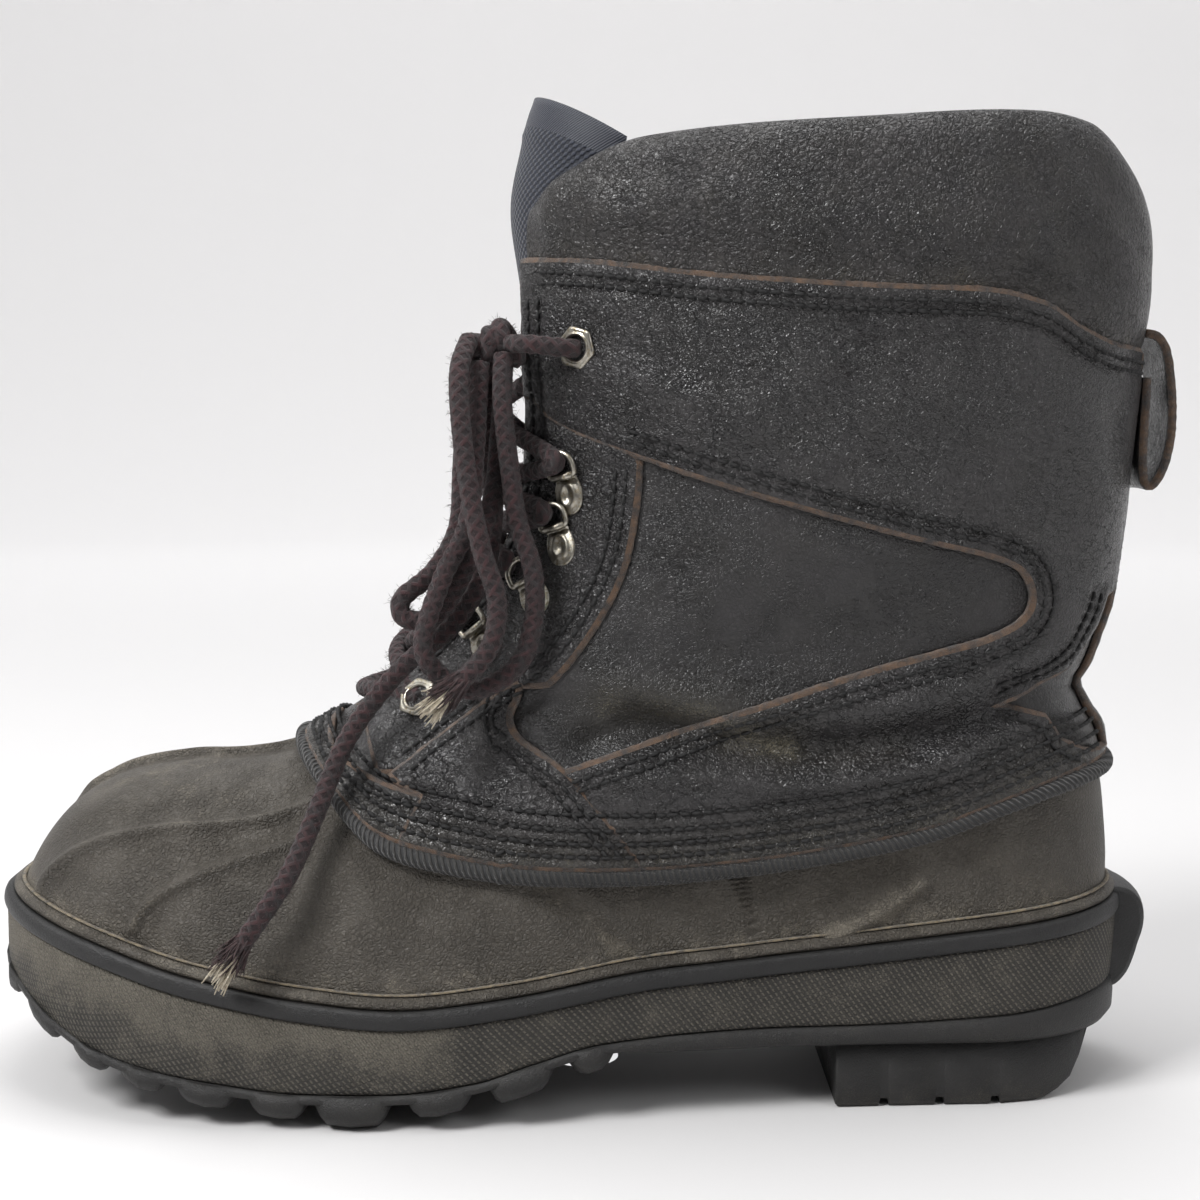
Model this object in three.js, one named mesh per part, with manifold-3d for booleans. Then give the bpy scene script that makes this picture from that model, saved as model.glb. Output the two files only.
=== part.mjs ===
// Insulated rubber boot for a left foot, laced, tied and standing empty on its sole.
//
// Sizes are millimetres. The toe points along -X, the outer side of the foot is -Y, +Z is up
// and the floor is z = 0. Every curved piece is cut from one form, the outside of the rubber
// shell and the leather shaft above it. The form is worked out from the tables below, and it
// is swollen or shrunk along its own normals to give each wall and overlay its two faces.

import * as THREE from 'three';
import { mergeVertices } from 'three/addons/utils/BufferGeometryUtils.js';
import Module from 'manifold-3d';

const wasm = await Module();
wasm.setup();

// Driving sizes

const FIT = 0.3; // gap between two curved pieces that meet
const ORIGIN = { x: -2.5, y: -0.7 }; // moves the middle of the boot over the origin
const SHELL_WALL = 3; // rubber shell
const LEATHER = 2; // leather outside the form, where the form is the shell's surface
const LINING = 2.5; // felt lining inside the form
const OVERLAY = 1.6; // thickness of each leather overlay
const BAND_WALL = 3; // ribbed band around the shell
const CUP_FLOOR = 4; // floor of the midsole cup
const INSOLE = 5;
const OUTSOLE_EDGE = 4.2; // how far the outsole stands outside the form
const OUTSOLE_BODY = 3; // rubber between the lugs and the band
const ROPE = 4.4; // diameter of the rope binding
const LACE = 5; // diameter of the lace
const THROAT_MARGIN = 0.4; // the overlays stop this far outside the upper's throat edge
const OVER_SHELL = LEATHER + FIT; // inner face of the overlays
const OVERLAY_FACE = OVER_SHELL + OVERLAY; // outer face of the overlays

// Mesh fineness of the form

const LEVELS = [0, 0.07, 0.12, 0.165, 0.21, 0.255, 0.31, 0.38, 0.46, 0.54, 0.59, 0.65, 0.75, 0.87, 1];
const AROUND = 26;
const LEVEL_STEP = 0.004;
const ANGLE_STEP = 0.02;

// Plan of the last: half its width and its middle line, from toe to heel

const PLAN = [
  { x: -158, half: 54, middle: 7 },
  { x: -120, half: 54.5, middle: 5 },
  { x: -90, half: 55, middle: 2 },
  { x: -60, half: 55, middle: -0.5 },
  { x: -30, half: 52, middle: -3 },
  { x: 0, half: 46, middle: -5 },
  { x: 30, half: 40.5, middle: -5 },
  { x: 60, half: 38, middle: -3.5 },
  { x: 90, half: 38, middle: -1.5 },
  { x: 120, half: 38.5, middle: 0 },
  { x: 152, half: 38.5, middle: 0 },
];

// Side view: the line where the outsole meets the band, with toe spring and arch

const SOLE_LINE = [
  { x: -160, z: 36 },
  { x: -150, z: 31 },
  { x: -136, z: 23 },
  { x: -123, z: 17.5 },
  { x: -108, z: 14 },
  { x: -91, z: 11.5 },
  { x: -70, z: 9.5 },
  { x: -45, z: 9.8 },
  { x: -24, z: 12.5 },
  { x: -11, z: 16.5 },
  { x: 8, z: 21 },
  { x: 45, z: 23 },
  { x: 76, z: 23.2 },
  { x: 113, z: 25 },
  { x: 137, z: 28 },
  { x: 152, z: 30 },
];

// Side view: the front, from under the toe over the instep and up the shin

const FRONT = [
  { x: -155, z: 27 },
  { x: -157.5, z: 40 },
  { x: -152, z: 60 },
  { x: -142, z: 74.5 },
  { x: -128, z: 83.5 },
  { x: -110, z: 87.5 },
  { x: -92, z: 88.5 },
  { x: -76, z: 92 },
  { x: -61, z: 101 },
  { x: -45, z: 116 },
  { x: -32, z: 130 },
  { x: -22.5, z: 146 },
  { x: -18, z: 163 },
  { x: -16.5, z: 180 },
  { x: -17, z: 205 },
  { x: -17, z: 236 },
  { x: -13, z: 257 },
  { x: -8, z: 278 },
];

// Side view: the back, from the heel over the tuck above the shell and up to the collar

const BACK = [
  { z: 14, x: 146 },
  { z: 30, x: 148.5 },
  { z: 45, x: 149.5 },
  { z: 60, x: 149.8 },
  { z: 75, x: 148.8 },
  { z: 85, x: 147.5 },
  { z: 95, x: 143.5 },
  { z: 104, x: 140 },
  { z: 112, x: 139.5 },
  { z: 122, x: 142.5 },
  { z: 135, x: 146.5 },
  { z: 166, x: 149.5 },
  { z: 206, x: 153 },
  { z: 234, x: 154 },
  { z: 278, x: 151 },
];

// Half width of the shaft by height

const SHAFT = [
  { z: 50, half: 40 },
  { z: 70, half: 41 },
  { z: 100, half: 40.5 },
  { z: 130, half: 42.5 },
  { z: 160, half: 45.5 },
  { z: 200, half: 48.5 },
  { z: 240, half: 50 },
  { z: 278, half: 50 },
];

// Rings of the form: share of the front line, and the height that the ring has at the back

const RINGS = [
  { front: 0, back: 23 },
  { front: 0.17, back: 36 },
  { front: 0.275, back: 46 },
  { front: 0.378, back: 60 },
  { front: 0.496, back: 95 },
  { front: 0.609, back: 140 },
  { front: 0.787, back: 205 },
  { front: 1, back: 278 },
];

// Side view: the black stripe's middle, and the middle of the rope at the shell's top edge

const STRIPE = [
  { x: -165, z: 54 },
  { x: -153, z: 51 },
  { x: -123, z: 43 },
  { x: -97, z: 36 },
  { x: -70, z: 31 },
  { x: -44, z: 29 },
  { x: -18, z: 31.5 },
  { x: 18, z: 37 },
  { x: 49, z: 39.5 },
  { x: 86, z: 43 },
  { x: 130, z: 48 },
  { x: 160, z: 51 },
];

const ROPE_LINE = [
  { x: -84, z: 101 },
  { x: -76, z: 92.5 },
  { x: -67, z: 85 },
  { x: -58, z: 77 },
  { x: -50, z: 71.5 },
  { x: -40, z: 68.5 },
  { x: -13, z: 65 },
  { x: 18, z: 64 },
  { x: 44, z: 65.5 },
  { x: 73, z: 69.5 },
  { x: 94, z: 74 },
  { x: 112, z: 80.5 },
  { x: 127, z: 85 },
  { x: 141, z: 87.5 },
  { x: 160, z: 89 },
];

// Side view: the padded collar's lower and upper edges

const COLLAR_LOW = [
  { x: -30, z: 225 },
  { x: -3, z: 223.5 },
  { x: 38, z: 218 },
  { x: 77, z: 215.3 },
  { x: 104, z: 214.5 },
  { x: 119, z: 211.5 },
  { x: 131, z: 205 },
  { x: 142, z: 201.5 },
  { x: 170, z: 200 },
];

const COLLAR_TOP = [
  { x: -30, z: 232 },
  { x: -12, z: 238 },
  { x: -3, z: 246 },
  { x: 18, z: 254.5 },
  { x: 75, z: 258 },
  { x: 120, z: 260.5 },
  { x: 133, z: 259 },
  { x: 146, z: 250 },
  { x: 157, z: 236 },
  { x: 170, z: 225 },
];

// Front view: half width of the throat by height

const THROAT = [
  { z: 101, half: 4 },
  { z: 103, half: 8 },
  { z: 108, half: 11 },
  { z: 118, half: 13.5 },
  { z: 140, half: 16 },
  { z: 200, half: 19 },
  { z: 280, half: 20 },
];

// Side view: outlines of the leather overlays

const WINDOW = [
  { x: -8, z: 188.5 },
  { x: 2, z: 180 },
  { x: 38, z: 167 },
  { x: 84, z: 154 },
  { x: 111, z: 147 },
  { x: 119, z: 140 },
  { x: 118, z: 131 },
  { x: 106, z: 125 },
  { x: 72, z: 115 },
  { x: 33, z: 102 },
  { x: -2, z: 90 },
];

const QUARTER_BACK = [
  { x: 172, z: 140 },
  { x: 142, z: 136 },
  { x: 139, z: 128 },
  { x: 131, z: 118 },
  { x: 120, z: 111 },
  { x: 109, z: 107 },
  { x: 114, z: 106.5 },
  { x: 123, z: 103 },
  { x: 128, z: 96 },
  { x: 137, z: 91.5 },
  { x: 172, z: 88.5 },
];

const FACING_EDGE = [
  { x: 18, z: 174 },
  { x: 17, z: 160 },
  { x: 14, z: 144 },
  { x: 7, z: 130 },
  { x: -4, z: 115.5 },
  { x: -14, z: 108.5 },
];

const VAMP_EDGE = [
  { x: -14, z: 108.5 },
  { x: -16, z: 104 },
  { x: -13, z: 98 },
  { x: -2, z: 90 },
  { x: 8, z: 78 },
  { x: 19, z: 64 },
];

const FACING_SEAM = [
  { x: -13, z: 113 },
  { x: -24, z: 105 },
  { x: -35, z: 96 },
  { x: -45, z: 88.5 },
];

const FACING_TOE = [
  { x: -50, z: 88 },
  { x: -53.5, z: 96 },
  { x: -55, z: 104 },
  { x: -57, z: 114 },
];

const BAND_TOP = [
  { x: -67, z: 106 },
  { x: -65.5, z: 92 },
  { x: -59, z: 88 },
  { x: -48, z: 84 },
  { x: -38.5, z: 82 },
];

// Outsole lugs: middle, length and depth of each. The deepest one rests flat on the floor.

const LUGS = [
  { x: -154.5, length: 9, depth: 3.5, rests: false },
  { x: -142, length: 12.5, depth: 3.8, rests: false },
  { x: -127, length: 12, depth: 3.6, rests: false },
  { x: -112, length: 13, depth: 3.8, rests: false },
  { x: -95, length: 16, depth: 4.6, rests: false },
  { x: -76, length: 16, depth: 5, rests: false },
  { x: -56.5, length: 20, depth: 6.6, rests: true },
  { x: -34, length: 17, depth: 5, rests: false },
  { x: -13, length: 17, depth: 6, rests: false },
  { x: 5, length: 12, depth: 5, rests: false },
];
const LUG_CHAMFER = 2;
const CHANNEL = { from: -140, to: 20, half: 4 };

// Heel block

const HEEL = { front: 70, flatEnd: 126, bevelEnd: 135, bevel: 4.5, back: 141, top: 17.4 };
const HEEL_NOTCH = { first: 83, pitch: 15, count: 3, width: 2.6, depth: 1.8 };
const SHANK_BOTTOM = 17.7;

// Metal on the facings: place in side view, and the way that each lace ring leans

const EYELETS = [
  { name: 'top', x: 4, z: 201 },
  { name: 'bottom', x: -40, z: 106 },
];
const EYELET = { across: 12, hole: 6.6, thick: 1.1, lean: 0.3 };

const LACE_RINGS = [
  { x: -21, z: 121, lean: 0.7 },
  { x: -8, z: 134, lean: 0.6 },
  { x: -1, z: 148, lean: 0.35 },
  { x: 1.5, z: 162, lean: 0.25 },
];
const RING = { plate: 9, thick: 1, loop: 4.6, wire: 0.85, reach: 6 };

// Toe ridges of the shell, seen from above

const TOE_RIDGES = [
  [{ x: -80, y: 1 }, { x: -104, y: 3 }, { x: -128, y: 5 }],
  [{ x: -70, y: -31 }, { x: -99, y: -34 }, { x: -120, y: -34 }, { x: -139, y: -28 }],
  [{ x: -72, y: 29 }, { x: -99, y: 36 }, { x: -120, y: 41 }, { x: -139, y: 38 }],
];
const RIDGE = { half: 1.3, high: 1.1 };

// The tied lace: routes of its free lengths

const KNOT = { x: -20, y: -27, z: 201, long: 9, wide: 7.5, high: 7 };

const LOOP_FRONT = [
  { x: -18, y: -33, z: 199 },
  { x: -18, y: -38, z: 187 },
  { x: -16, y: -40, z: 169 },
  { x: -14, y: -41, z: 156 },
  { x: -10, y: -43, z: 143 },
  { x: -10, y: -44, z: 130 },
  { x: -14, y: -46, z: 119 },
  { x: -24, y: -47, z: 113 },
  { x: -33, y: -48, z: 116 },
  { x: -38, y: -49.5, z: 125 },
  { x: -33, y: -46.5, z: 142 },
  { x: -27, y: -43.5, z: 155 },
  { x: -25, y: -40, z: 174 },
  { x: -24, y: -34, z: 197 },
];

const LOOP_BACK = [
  { x: -26, y: -28, z: 198 },
  { x: -28, y: -31, z: 188 },
  { x: -29, y: -33, z: 169 },
  { x: -30, y: -36, z: 154 },
  { x: -36, y: -39, z: 143 },
  { x: -44, y: -42, z: 136 },
  { x: -43, y: -43, z: 131 },
  { x: -35, y: -43, z: 132 },
  { x: -27, y: -41.5, z: 145 },
  { x: -21, y: -36.5, z: 161 },
  { x: -19, y: -32, z: 180 },
  { x: -18, y: -28, z: 198 },
];

const END_SHORT = [
  { x: -27, y: -32, z: 203 },
  { x: -29, y: -42, z: 193 },
  { x: -27, y: -47.5, z: 171 },
  { x: -23, y: -50, z: 150 },
  { x: -19, y: -49.5, z: 136 },
  { x: -21, y: -51, z: 124 },
  { x: -29, y: -53.5, z: 115 },
];

const END_LONG = [
  { x: -21.5, y: -24, z: 199 },
  { x: -23, y: -24.5, z: 186 },
  { x: -22, y: -25, z: 172 },
  { x: -21, y: -28, z: 158 },
  { x: -23, y: -35, z: 143 },
  { x: -31, y: -38, z: 129 },
  { x: -43, y: -37, z: 119 },
  { x: -52, y: -36, z: 109 },
  { x: -60, y: -39, z: 97 },
  { x: -67, y: -47, z: 79 },
  { x: -72, y: -53, z: 67 },
  { x: -77, y: -57, z: 59 },
  { x: -84, y: -60, z: 49 },
];

// Pull loop: side view of the folded strap behind the backstay

const PULL_LOOP_OUTER = [
  { x: 154.2, z: 163 },
  { x: 158.5, z: 163 },
  { x: 163, z: 169 },
  { x: 165, z: 180 },
  { x: 164.4, z: 192 },
  { x: 162, z: 203 },
  { x: 158.6, z: 206 },
  { x: 157.4, z: 205 },
];
const PULL_LOOP_SLOT = [
  { x: 158, z: 167 },
  { x: 161.2, z: 171 },
  { x: 163.1, z: 180 },
  { x: 162.5, z: 191 },
  { x: 160.7, z: 199 },
  { x: 159, z: 198 },
  { x: 157.6, z: 180 },
  { x: 156.6, z: 169 },
];
const PULL_LOOP_HALF = 11;

// Curves through the tables

function lerp(a, b, t) {
  return a + (b - a) * t;
}

function smooth(from, to, value) {
  const t = Math.min(Math.max((value - from) / (to - from), 0), 1);
  return t * t * (3 - 2 * t);
}

// A smooth curve through a table's rows that never swings past them.
function curve(rows, input, output) {
  const xs = rows.map((row) => row[input]);
  const ys = rows.map((row) => row[output]);
  const slopes = xs.slice(1).map((x, i) => (ys[i + 1] - ys[i]) / (x - xs[i]));
  const tangents = ys.map((_, i) => {
    if (i === 0) return slopes[0];
    if (i === ys.length - 1) return slopes[i - 1];
    const before = slopes[i - 1];
    const after = slopes[i];
    return before * after > 0 ? (2 * before * after) / (before + after) : 0;
  });
  const valueAt = (value) => {
    const x = Math.min(Math.max(value, xs[0]), xs[xs.length - 1]);
    let i = 0;
    while (i < xs.length - 2 && x > xs[i + 1]) i += 1;
    const width = xs[i + 1] - xs[i];
    const t = (x - xs[i]) / width;
    const rest = 1 - t;
    return (
      (1 + 2 * t) * rest * rest * ys[i] +
      t * rest * rest * width * tangents[i] +
      t * t * (3 - 2 * t) * ys[i + 1] -
      t * t * rest * width * tangents[i + 1]
    );
  };
  valueAt.inputs = xs;
  return valueAt;
}

const planHalf = curve(PLAN, 'x', 'half');
const planMiddle = curve(PLAN, 'x', 'middle');
const soleLine = curve(SOLE_LINE, 'x', 'z');
const outsoleLine = (x) => lerp(soleLine(x) - OUTSOLE_BODY, SHANK_BOTTOM, smooth(8, 24, x));
outsoleLine.inputs = soleLine.inputs;
const backLine = curve(BACK, 'z', 'x');
const shaftHalf = curve(SHAFT, 'z', 'half');
const ringBack = curve(RINGS, 'front', 'back');
const stripeLine = curve(STRIPE, 'x', 'z');
const ropeLine = curve(ROPE_LINE, 'x', 'z');
const collarLow = curve(COLLAR_LOW, 'x', 'z');
const collarTop = curve(COLLAR_TOP, 'x', 'z');
const throatHalf = curve(THROAT, 'z', 'half');

const frontSpline = new THREE.SplineCurve(FRONT.map((row) => new THREE.Vector2(row.x, row.z)));
frontSpline.arcLengthDivisions = 400;
const FRONT_SAMPLES = frontSpline.getSpacedPoints(300);
const TOE_TIP = Math.min(...FRONT_SAMPLES.map((point) => point.x));
const TIP_HEIGHT = FRONT_SAMPLES.find((point) => point.x === TOE_TIP).y;

function between(samples, input, output, value) {
  let i = 0;
  while (i < samples.length - 2 && value > samples[i + 1][input]) i += 1;
  const before = samples[i];
  const after = samples[i + 1];
  const t = (value - before[input]) / (after[input] - before[input]);
  return lerp(before[output], after[output], Math.min(Math.max(t, 0), 1));
}

function frontX(z) {
  return between(FRONT_SAMPLES, 'y', 'x', z);
}

// Height of the boot's top outline over the toes and the instep. Behind the shin it is open.
const SHIN_X = -17.5;
const TOP_SAMPLES = FRONT_SAMPLES.filter((p) => p.y >= TIP_HEIGHT && p.x < SHIN_X && p.y < 170);
const OPEN_HEIGHT = 400;

function topHeight(x) {
  if (x <= SHIN_X - 0.5) return between(TOP_SAMPLES, 'x', 'y', x);
  return lerp(170, OPEN_HEIGHT, smooth(SHIN_X - 0.5, 10, x));
}

// The form

const TOE_START = -95; // where the plan begins to close towards the toe
const TOE_POWER = 2.25;
const DOME_START = 16; // height above the sole line where the sides begin to lean in
const HEEL_POWER = 2.2;

function superCircle(share, power) {
  const s = Math.min(Math.max(share, 0), 1);
  return Math.pow(1 - Math.pow(s, power), 1 / power);
}

function toeClosing(x, z) {
  const tip = z < TIP_HEIGHT ? frontX(z) : TOE_TIP;
  return superCircle((TOE_START - x) / (TOE_START - tip), TOE_POWER);
}

function formHalf(x, z) {
  const sole = planHalf(x) * toeClosing(x, z);
  const width = lerp(sole, shaftHalf(z), smooth(55, 125, z));
  const domeFoot = soleLine(x) + DOME_START;
  const domeShare = (z - domeFoot) / (topHeight(x) - domeFoot);
  const dome = superCircle(domeShare, 2.5 - 0.5 * smooth(-125, -55, x));
  const shinDepth = 62 + 18 * smooth(100, 165, z);
  const shin = superCircle((frontX(z) + shinDepth - x) / shinDepth, 2);
  const frontClosing = lerp(dome, shin, smooth(95, 150, z));
  const heelDepth = 42 + 38 * smooth(60, 170, z);
  const heel = superCircle((x - backLine(z) + heelDepth) / heelDepth, HEEL_POWER);
  return width * frontClosing * heel;
}

function formMiddle(x, z) {
  return planMiddle(x) * (1 - smooth(50, 130, z));
}

const FOLLOW_END = 0.3; // share of the front line where the rings stop following the sole

// A point of the form. The angle runs from the heel (0) over the inner side to the toe (PI)
// and back over the outer side; the level runs from the sole (0) to the top (1).
function ringPoint(angle, level) {
  const front = frontSpline.getPointAt(Math.min(Math.max(level, 0), 1));
  const backZ = ringBack(level);
  const backX = backLine(backZ);
  const share = (1 + Math.cos(angle)) / 2;
  const x = lerp(front.x, backX, share);
  const sag = soleLine(x) - lerp(soleLine(front.x), soleLine(backX), share);
  const z = lerp(front.y, backZ, share) + sag * (1 - smooth(0, FOLLOW_END, level));
  const sine = Math.sin(angle);
  const closed = Math.abs(sine) < 1e-6;
  const half = closed ? 0 : formHalf(x, z) * Math.sign(sine);
  return new THREE.Vector3(x, formMiddle(x, z) + half, z);
}

function ringNormal(angle, level) {
  const low = Math.max(level - LEVEL_STEP, 0);
  const high = Math.min(level + LEVEL_STEP, 1);
  const up = ringPoint(angle, high).sub(ringPoint(angle, low));
  const along = ringPoint(angle + ANGLE_STEP, level).sub(ringPoint(angle - ANGLE_STEP, level));
  return along.cross(up).normalize();
}

function offsetPoint(angle, level, distance) {
  return ringPoint(angle, level).addScaledVector(ringNormal(angle, level), distance);
}

// The level at which the ring at this angle crosses a line of the side view.
function levelAt(angle, line) {
  let low = 0;
  let high = 1;
  for (let step = 0; step < 24; step += 1) {
    const middle = (low + high) / 2;
    const point = ringPoint(angle, middle);
    if (point.z < line(point.x)) low = middle;
    else high = middle;
  }
  return (low + high) / 2;
}

// A place on the form's side at a point of the side view, with its outward normal.
function sidePlace(x, z, side) {
  const step = 0.5;
  const face = (px, pz) => side * formMiddle(px, pz) + formHalf(px, pz);
  const slopeX = (face(x + step, z) - face(x - step, z)) / (2 * step);
  const slopeZ = (face(x, z + step) - face(x, z - step)) / (2 * step);
  const normal = new THREE.Vector3(-slopeX, side, -slopeZ).normalize();
  return { point: new THREE.Vector3(x, side * face(x, z), z), normal };
}

// Closed meshes from rows of points

function signedVolume(positions, triangles) {
  const corner = (index) => new THREE.Vector3().fromArray(positions, 3 * index);
  let volume = 0;
  for (let i = 0; i < triangles.length; i += 3) {
    const a = corner(triangles[i]);
    const b = corner(triangles[i + 1]);
    const c = corner(triangles[i + 2]);
    volume += a.dot(b.cross(c)) / 6;
  }
  return volume;
}

// A solid from a closed mesh, with its faces turned outwards.
function solidFromMesh(positions, triangles) {
  const corners = Array.from(triangles);
  if (signedVolume(positions, corners) < 0) corners.reverse();
  const mesh = new wasm.Mesh({
    numProp: 3,
    vertProperties: new Float32Array(positions),
    triVerts: new Uint32Array(corners),
  });
  mesh.merge();
  return new wasm.Manifold(mesh);
}

// Rows of points joined into a skin. Each row is a closed ring whose points pair off from
// side to side. With closedAlong the last row meets the first, else both ends are capped.
function skinSolid(rows, closedAlong) {
  const count = rows[0].length;
  const positions = rows.flat().flatMap((point) => [point.x, point.y, point.z]);
  const triangles = [];
  const joins = closedAlong ? rows.length : rows.length - 1;
  for (let row = 0; row < joins; row += 1) {
    const base = row * count;
    const above = ((row + 1) % rows.length) * count;
    for (let i = 0; i < count; i += 1) {
      const j = (i + 1) % count;
      triangles.push(base + i, base + j, above + j, base + i, above + j, above + i);
    }
  }
  if (!closedAlong) {
    const top = (rows.length - 1) * count;
    for (const [base, turned] of [[0, true], [top, false]]) {
      for (const [a, b, c] of capTriangles(count)) {
        const corners = turned ? [c, b, a] : [a, b, c];
        triangles.push(...corners.map((corner) => base + corner));
      }
    }
  }
  return solidFromMesh(positions, triangles);
}

// Triangles across a closed ring, joining each point to the one opposite it.
function capTriangles(count) {
  const triangles = [];
  let left = 0;
  let right = count;
  while (right - left > 2) {
    const a = left;
    const b = left + 1;
    const c = right - 1;
    triangles.push([a % count, b, c]);
    if (c - b > 1) triangles.push([b, c - 1, c].map((corner) => corner % count));
    left += 1;
    right -= 1;
  }
  return triangles;
}

const forms = new Map();

// The closed form, swollen outwards by a distance.
function form(distance) {
  if (!forms.has(distance)) {
    const rows = [];
    for (const level of LEVELS) {
      const row = [];
      for (let step = 0; step < AROUND; step += 1) {
        row.push(offsetPoint((2 * Math.PI * step) / AROUND, level, distance));
      }
      rows.push(row);
    }
    forms.set(distance, skinSolid(rows, false));
  }
  return forms.get(distance);
}

function wall(outer, inner) {
  return form(outer).subtract(form(inner));
}

// Solids from three.js geometry

function solid(geometry) {
  const bare = geometry.clone();
  bare.deleteAttribute('normal');
  bare.deleteAttribute('uv');
  const merged = mergeVertices(bare, 1e-4);
  return solidFromMesh(merged.attributes.position.array, merged.index.array);
}

const REACH = 90; // half the length of the cutting prisms

function extruded(points, depth, inputX, inputY) {
  const shape = new THREE.Shape(points.map((p) => new THREE.Vector2(p[inputX], p[inputY])));
  return new THREE.ExtrudeGeometry(shape, { depth, bevelEnabled: false });
}

// A prism along Y from an outline of the side view.
function sidePrism(points, fromY = -REACH, toY = REACH) {
  const geometry = extruded(points, toY - fromY, 'x', 'z');
  geometry.rotateX(Math.PI / 2);
  geometry.translate(0, toY, 0);
  return solid(geometry);
}

// A prism along Z from an outline seen from above.
function planPrism(points, fromZ, toZ) {
  const geometry = extruded(points, toZ - fromZ, 'x', 'y');
  geometry.translate(0, 0, fromZ);
  return solid(geometry);
}

// A prism along X from an outline seen from the front.
function frontPrism(points, fromX, toX) {
  const geometry = extruded(points, toX - fromX, 'y', 'z');
  geometry.rotateX(Math.PI / 2);
  geometry.rotateZ(Math.PI / 2);
  geometry.translate(fromX, 0, 0);
  return solid(geometry);
}

function box(from, to) {
  const size = new THREE.Vector3().subVectors(to, from);
  const geometry = new THREE.BoxGeometry(size.x, size.y, size.z);
  geometry.translate((from.x + to.x) / 2, (from.y + to.y) / 2, (from.z + to.z) / 2);
  return solid(geometry);
}

const VIEW = { left: -176, right: 176, low: -20, high: 300 };

// A line of the side view, moved square to itself, and run on to both edges of the view.
function lineSamples(line, lift) {
  const step = 1;
  return [VIEW.left, ...line.inputs, VIEW.right].map((x) => {
    const slope = (line(x + step) - line(x - step)) / (2 * step);
    const size = Math.hypot(1, slope);
    return { x: x - (lift * slope) / size, z: line(x) + lift / size };
  });
}

// Everything above, or below, a line of the side view.
function above(line, lift = 0) {
  const corners = [{ x: VIEW.right, z: VIEW.high }, { x: VIEW.left, z: VIEW.high }];
  return sidePrism([...lineSamples(line, lift), ...corners]);
}

function below(line, lift = 0) {
  const corners = [{ x: VIEW.right, z: VIEW.low }, { x: VIEW.left, z: VIEW.low }];
  return sidePrism([...lineSamples(line, lift), ...corners]);
}

// Points along a smooth curve through an outline's rows.
function rounded(rows, perRow = 2) {
  const spline = new THREE.SplineCurve(rows.map((row) => new THREE.Vector2(row.x, row.z)));
  return spline.getPoints((rows.length - 1) * perRow).map((p) => ({ x: p.x, z: p.y }));
}

function circleShape(radius, sides, turn = 0) {
  const points = [];
  for (let i = 0; i < sides; i += 1) {
    const angle = turn + (2 * Math.PI * i) / sides;
    points.push(new THREE.Vector2(radius * Math.cos(angle), radius * Math.sin(angle)));
  }
  return new THREE.Shape(points);
}

function tube(points, radius, sides, steps) {
  const route = points.map((p) => new THREE.Vector3(p.x, p.y, p.z));
  const path = new THREE.CatmullRomCurve3(route, false, 'centripetal');
  const options = { steps, extrudePath: path, bevelEnabled: false };
  return solid(new THREE.ExtrudeGeometry(circleShape(radius, sides), options));
}

// Materials by name

const MATERIALS = {
  shellRubber: { color: 0x4b453d, roughness: 0.72, metalness: 0 },
  bandRubber: { color: 0x453f37, roughness: 0.85, metalness: 0 },
  blackRubber: { color: 0x1b1b1c, roughness: 0.7, metalness: 0 },
  leather: { color: 0x26242a, roughness: 0.5, metalness: 0 },
  collarLeather: { color: 0x2b292e, roughness: 0.55, metalness: 0 },
  nylon: { color: 0x171c28, roughness: 0.9, metalness: 0 },
  felt: { color: 0x5b2a2a, roughness: 1, metalness: 0 },
  metal: { color: 0x8d8576, roughness: 0.35, metalness: 1 },
  cord: { color: 0x3a2a2e, roughness: 1, metalness: 0 },
};

const boot = new THREE.Group();
boot.name = 'insulated_rubber_boot';
boot.position.set(ORIGIN.x, ORIGIN.y, 0);

function addPiece(name, body, materialName) {
  const data = body.getMesh();
  const geometry = new THREE.BufferGeometry();
  const positions = new THREE.BufferAttribute(new Float32Array(data.vertProperties), 3);
  geometry.setAttribute('position', positions);
  geometry.setIndex(new THREE.BufferAttribute(new Uint32Array(data.triVerts), 1));
  geometry.computeVertexNormals();
  const material = new THREE.MeshStandardMaterial(MATERIALS[materialName]);
  const mesh = new THREE.Mesh(geometry, material);
  mesh.name = name;
  boot.add(mesh);
}

// Sole

// Outline of the boot seen from above at the sole line, moved outwards by a distance.
function solePlan(distance) {
  const outline = [];
  for (let step = 0; step < AROUND; step += 1) {
    const angle = (2 * Math.PI * step) / AROUND;
    const point = offsetPoint(angle, levelAt(angle, soleLine), distance);
    outline.push({ x: point.x, y: point.y });
  }
  return outline;
}

function lugSolid(lug) {
  const left = lug.x - lug.length / 2;
  const right = lug.x + lug.length / 2;
  const root = (x) => outsoleLine(x) + 1;
  const bottom = (x) => (lug.rests ? 0 : outsoleLine(x) - lug.depth);
  const outline = [
    { x: left, z: root(left) },
    { x: left + 0.5, z: bottom(left) + LUG_CHAMFER },
    { x: left + LUG_CHAMFER, z: bottom(left + LUG_CHAMFER) },
    { x: right - LUG_CHAMFER, z: bottom(right - LUG_CHAMFER) },
    { x: right - 0.5, z: bottom(right) + LUG_CHAMFER },
    { x: right, z: root(right) },
  ];
  return sidePrism(outline);
}

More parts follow.
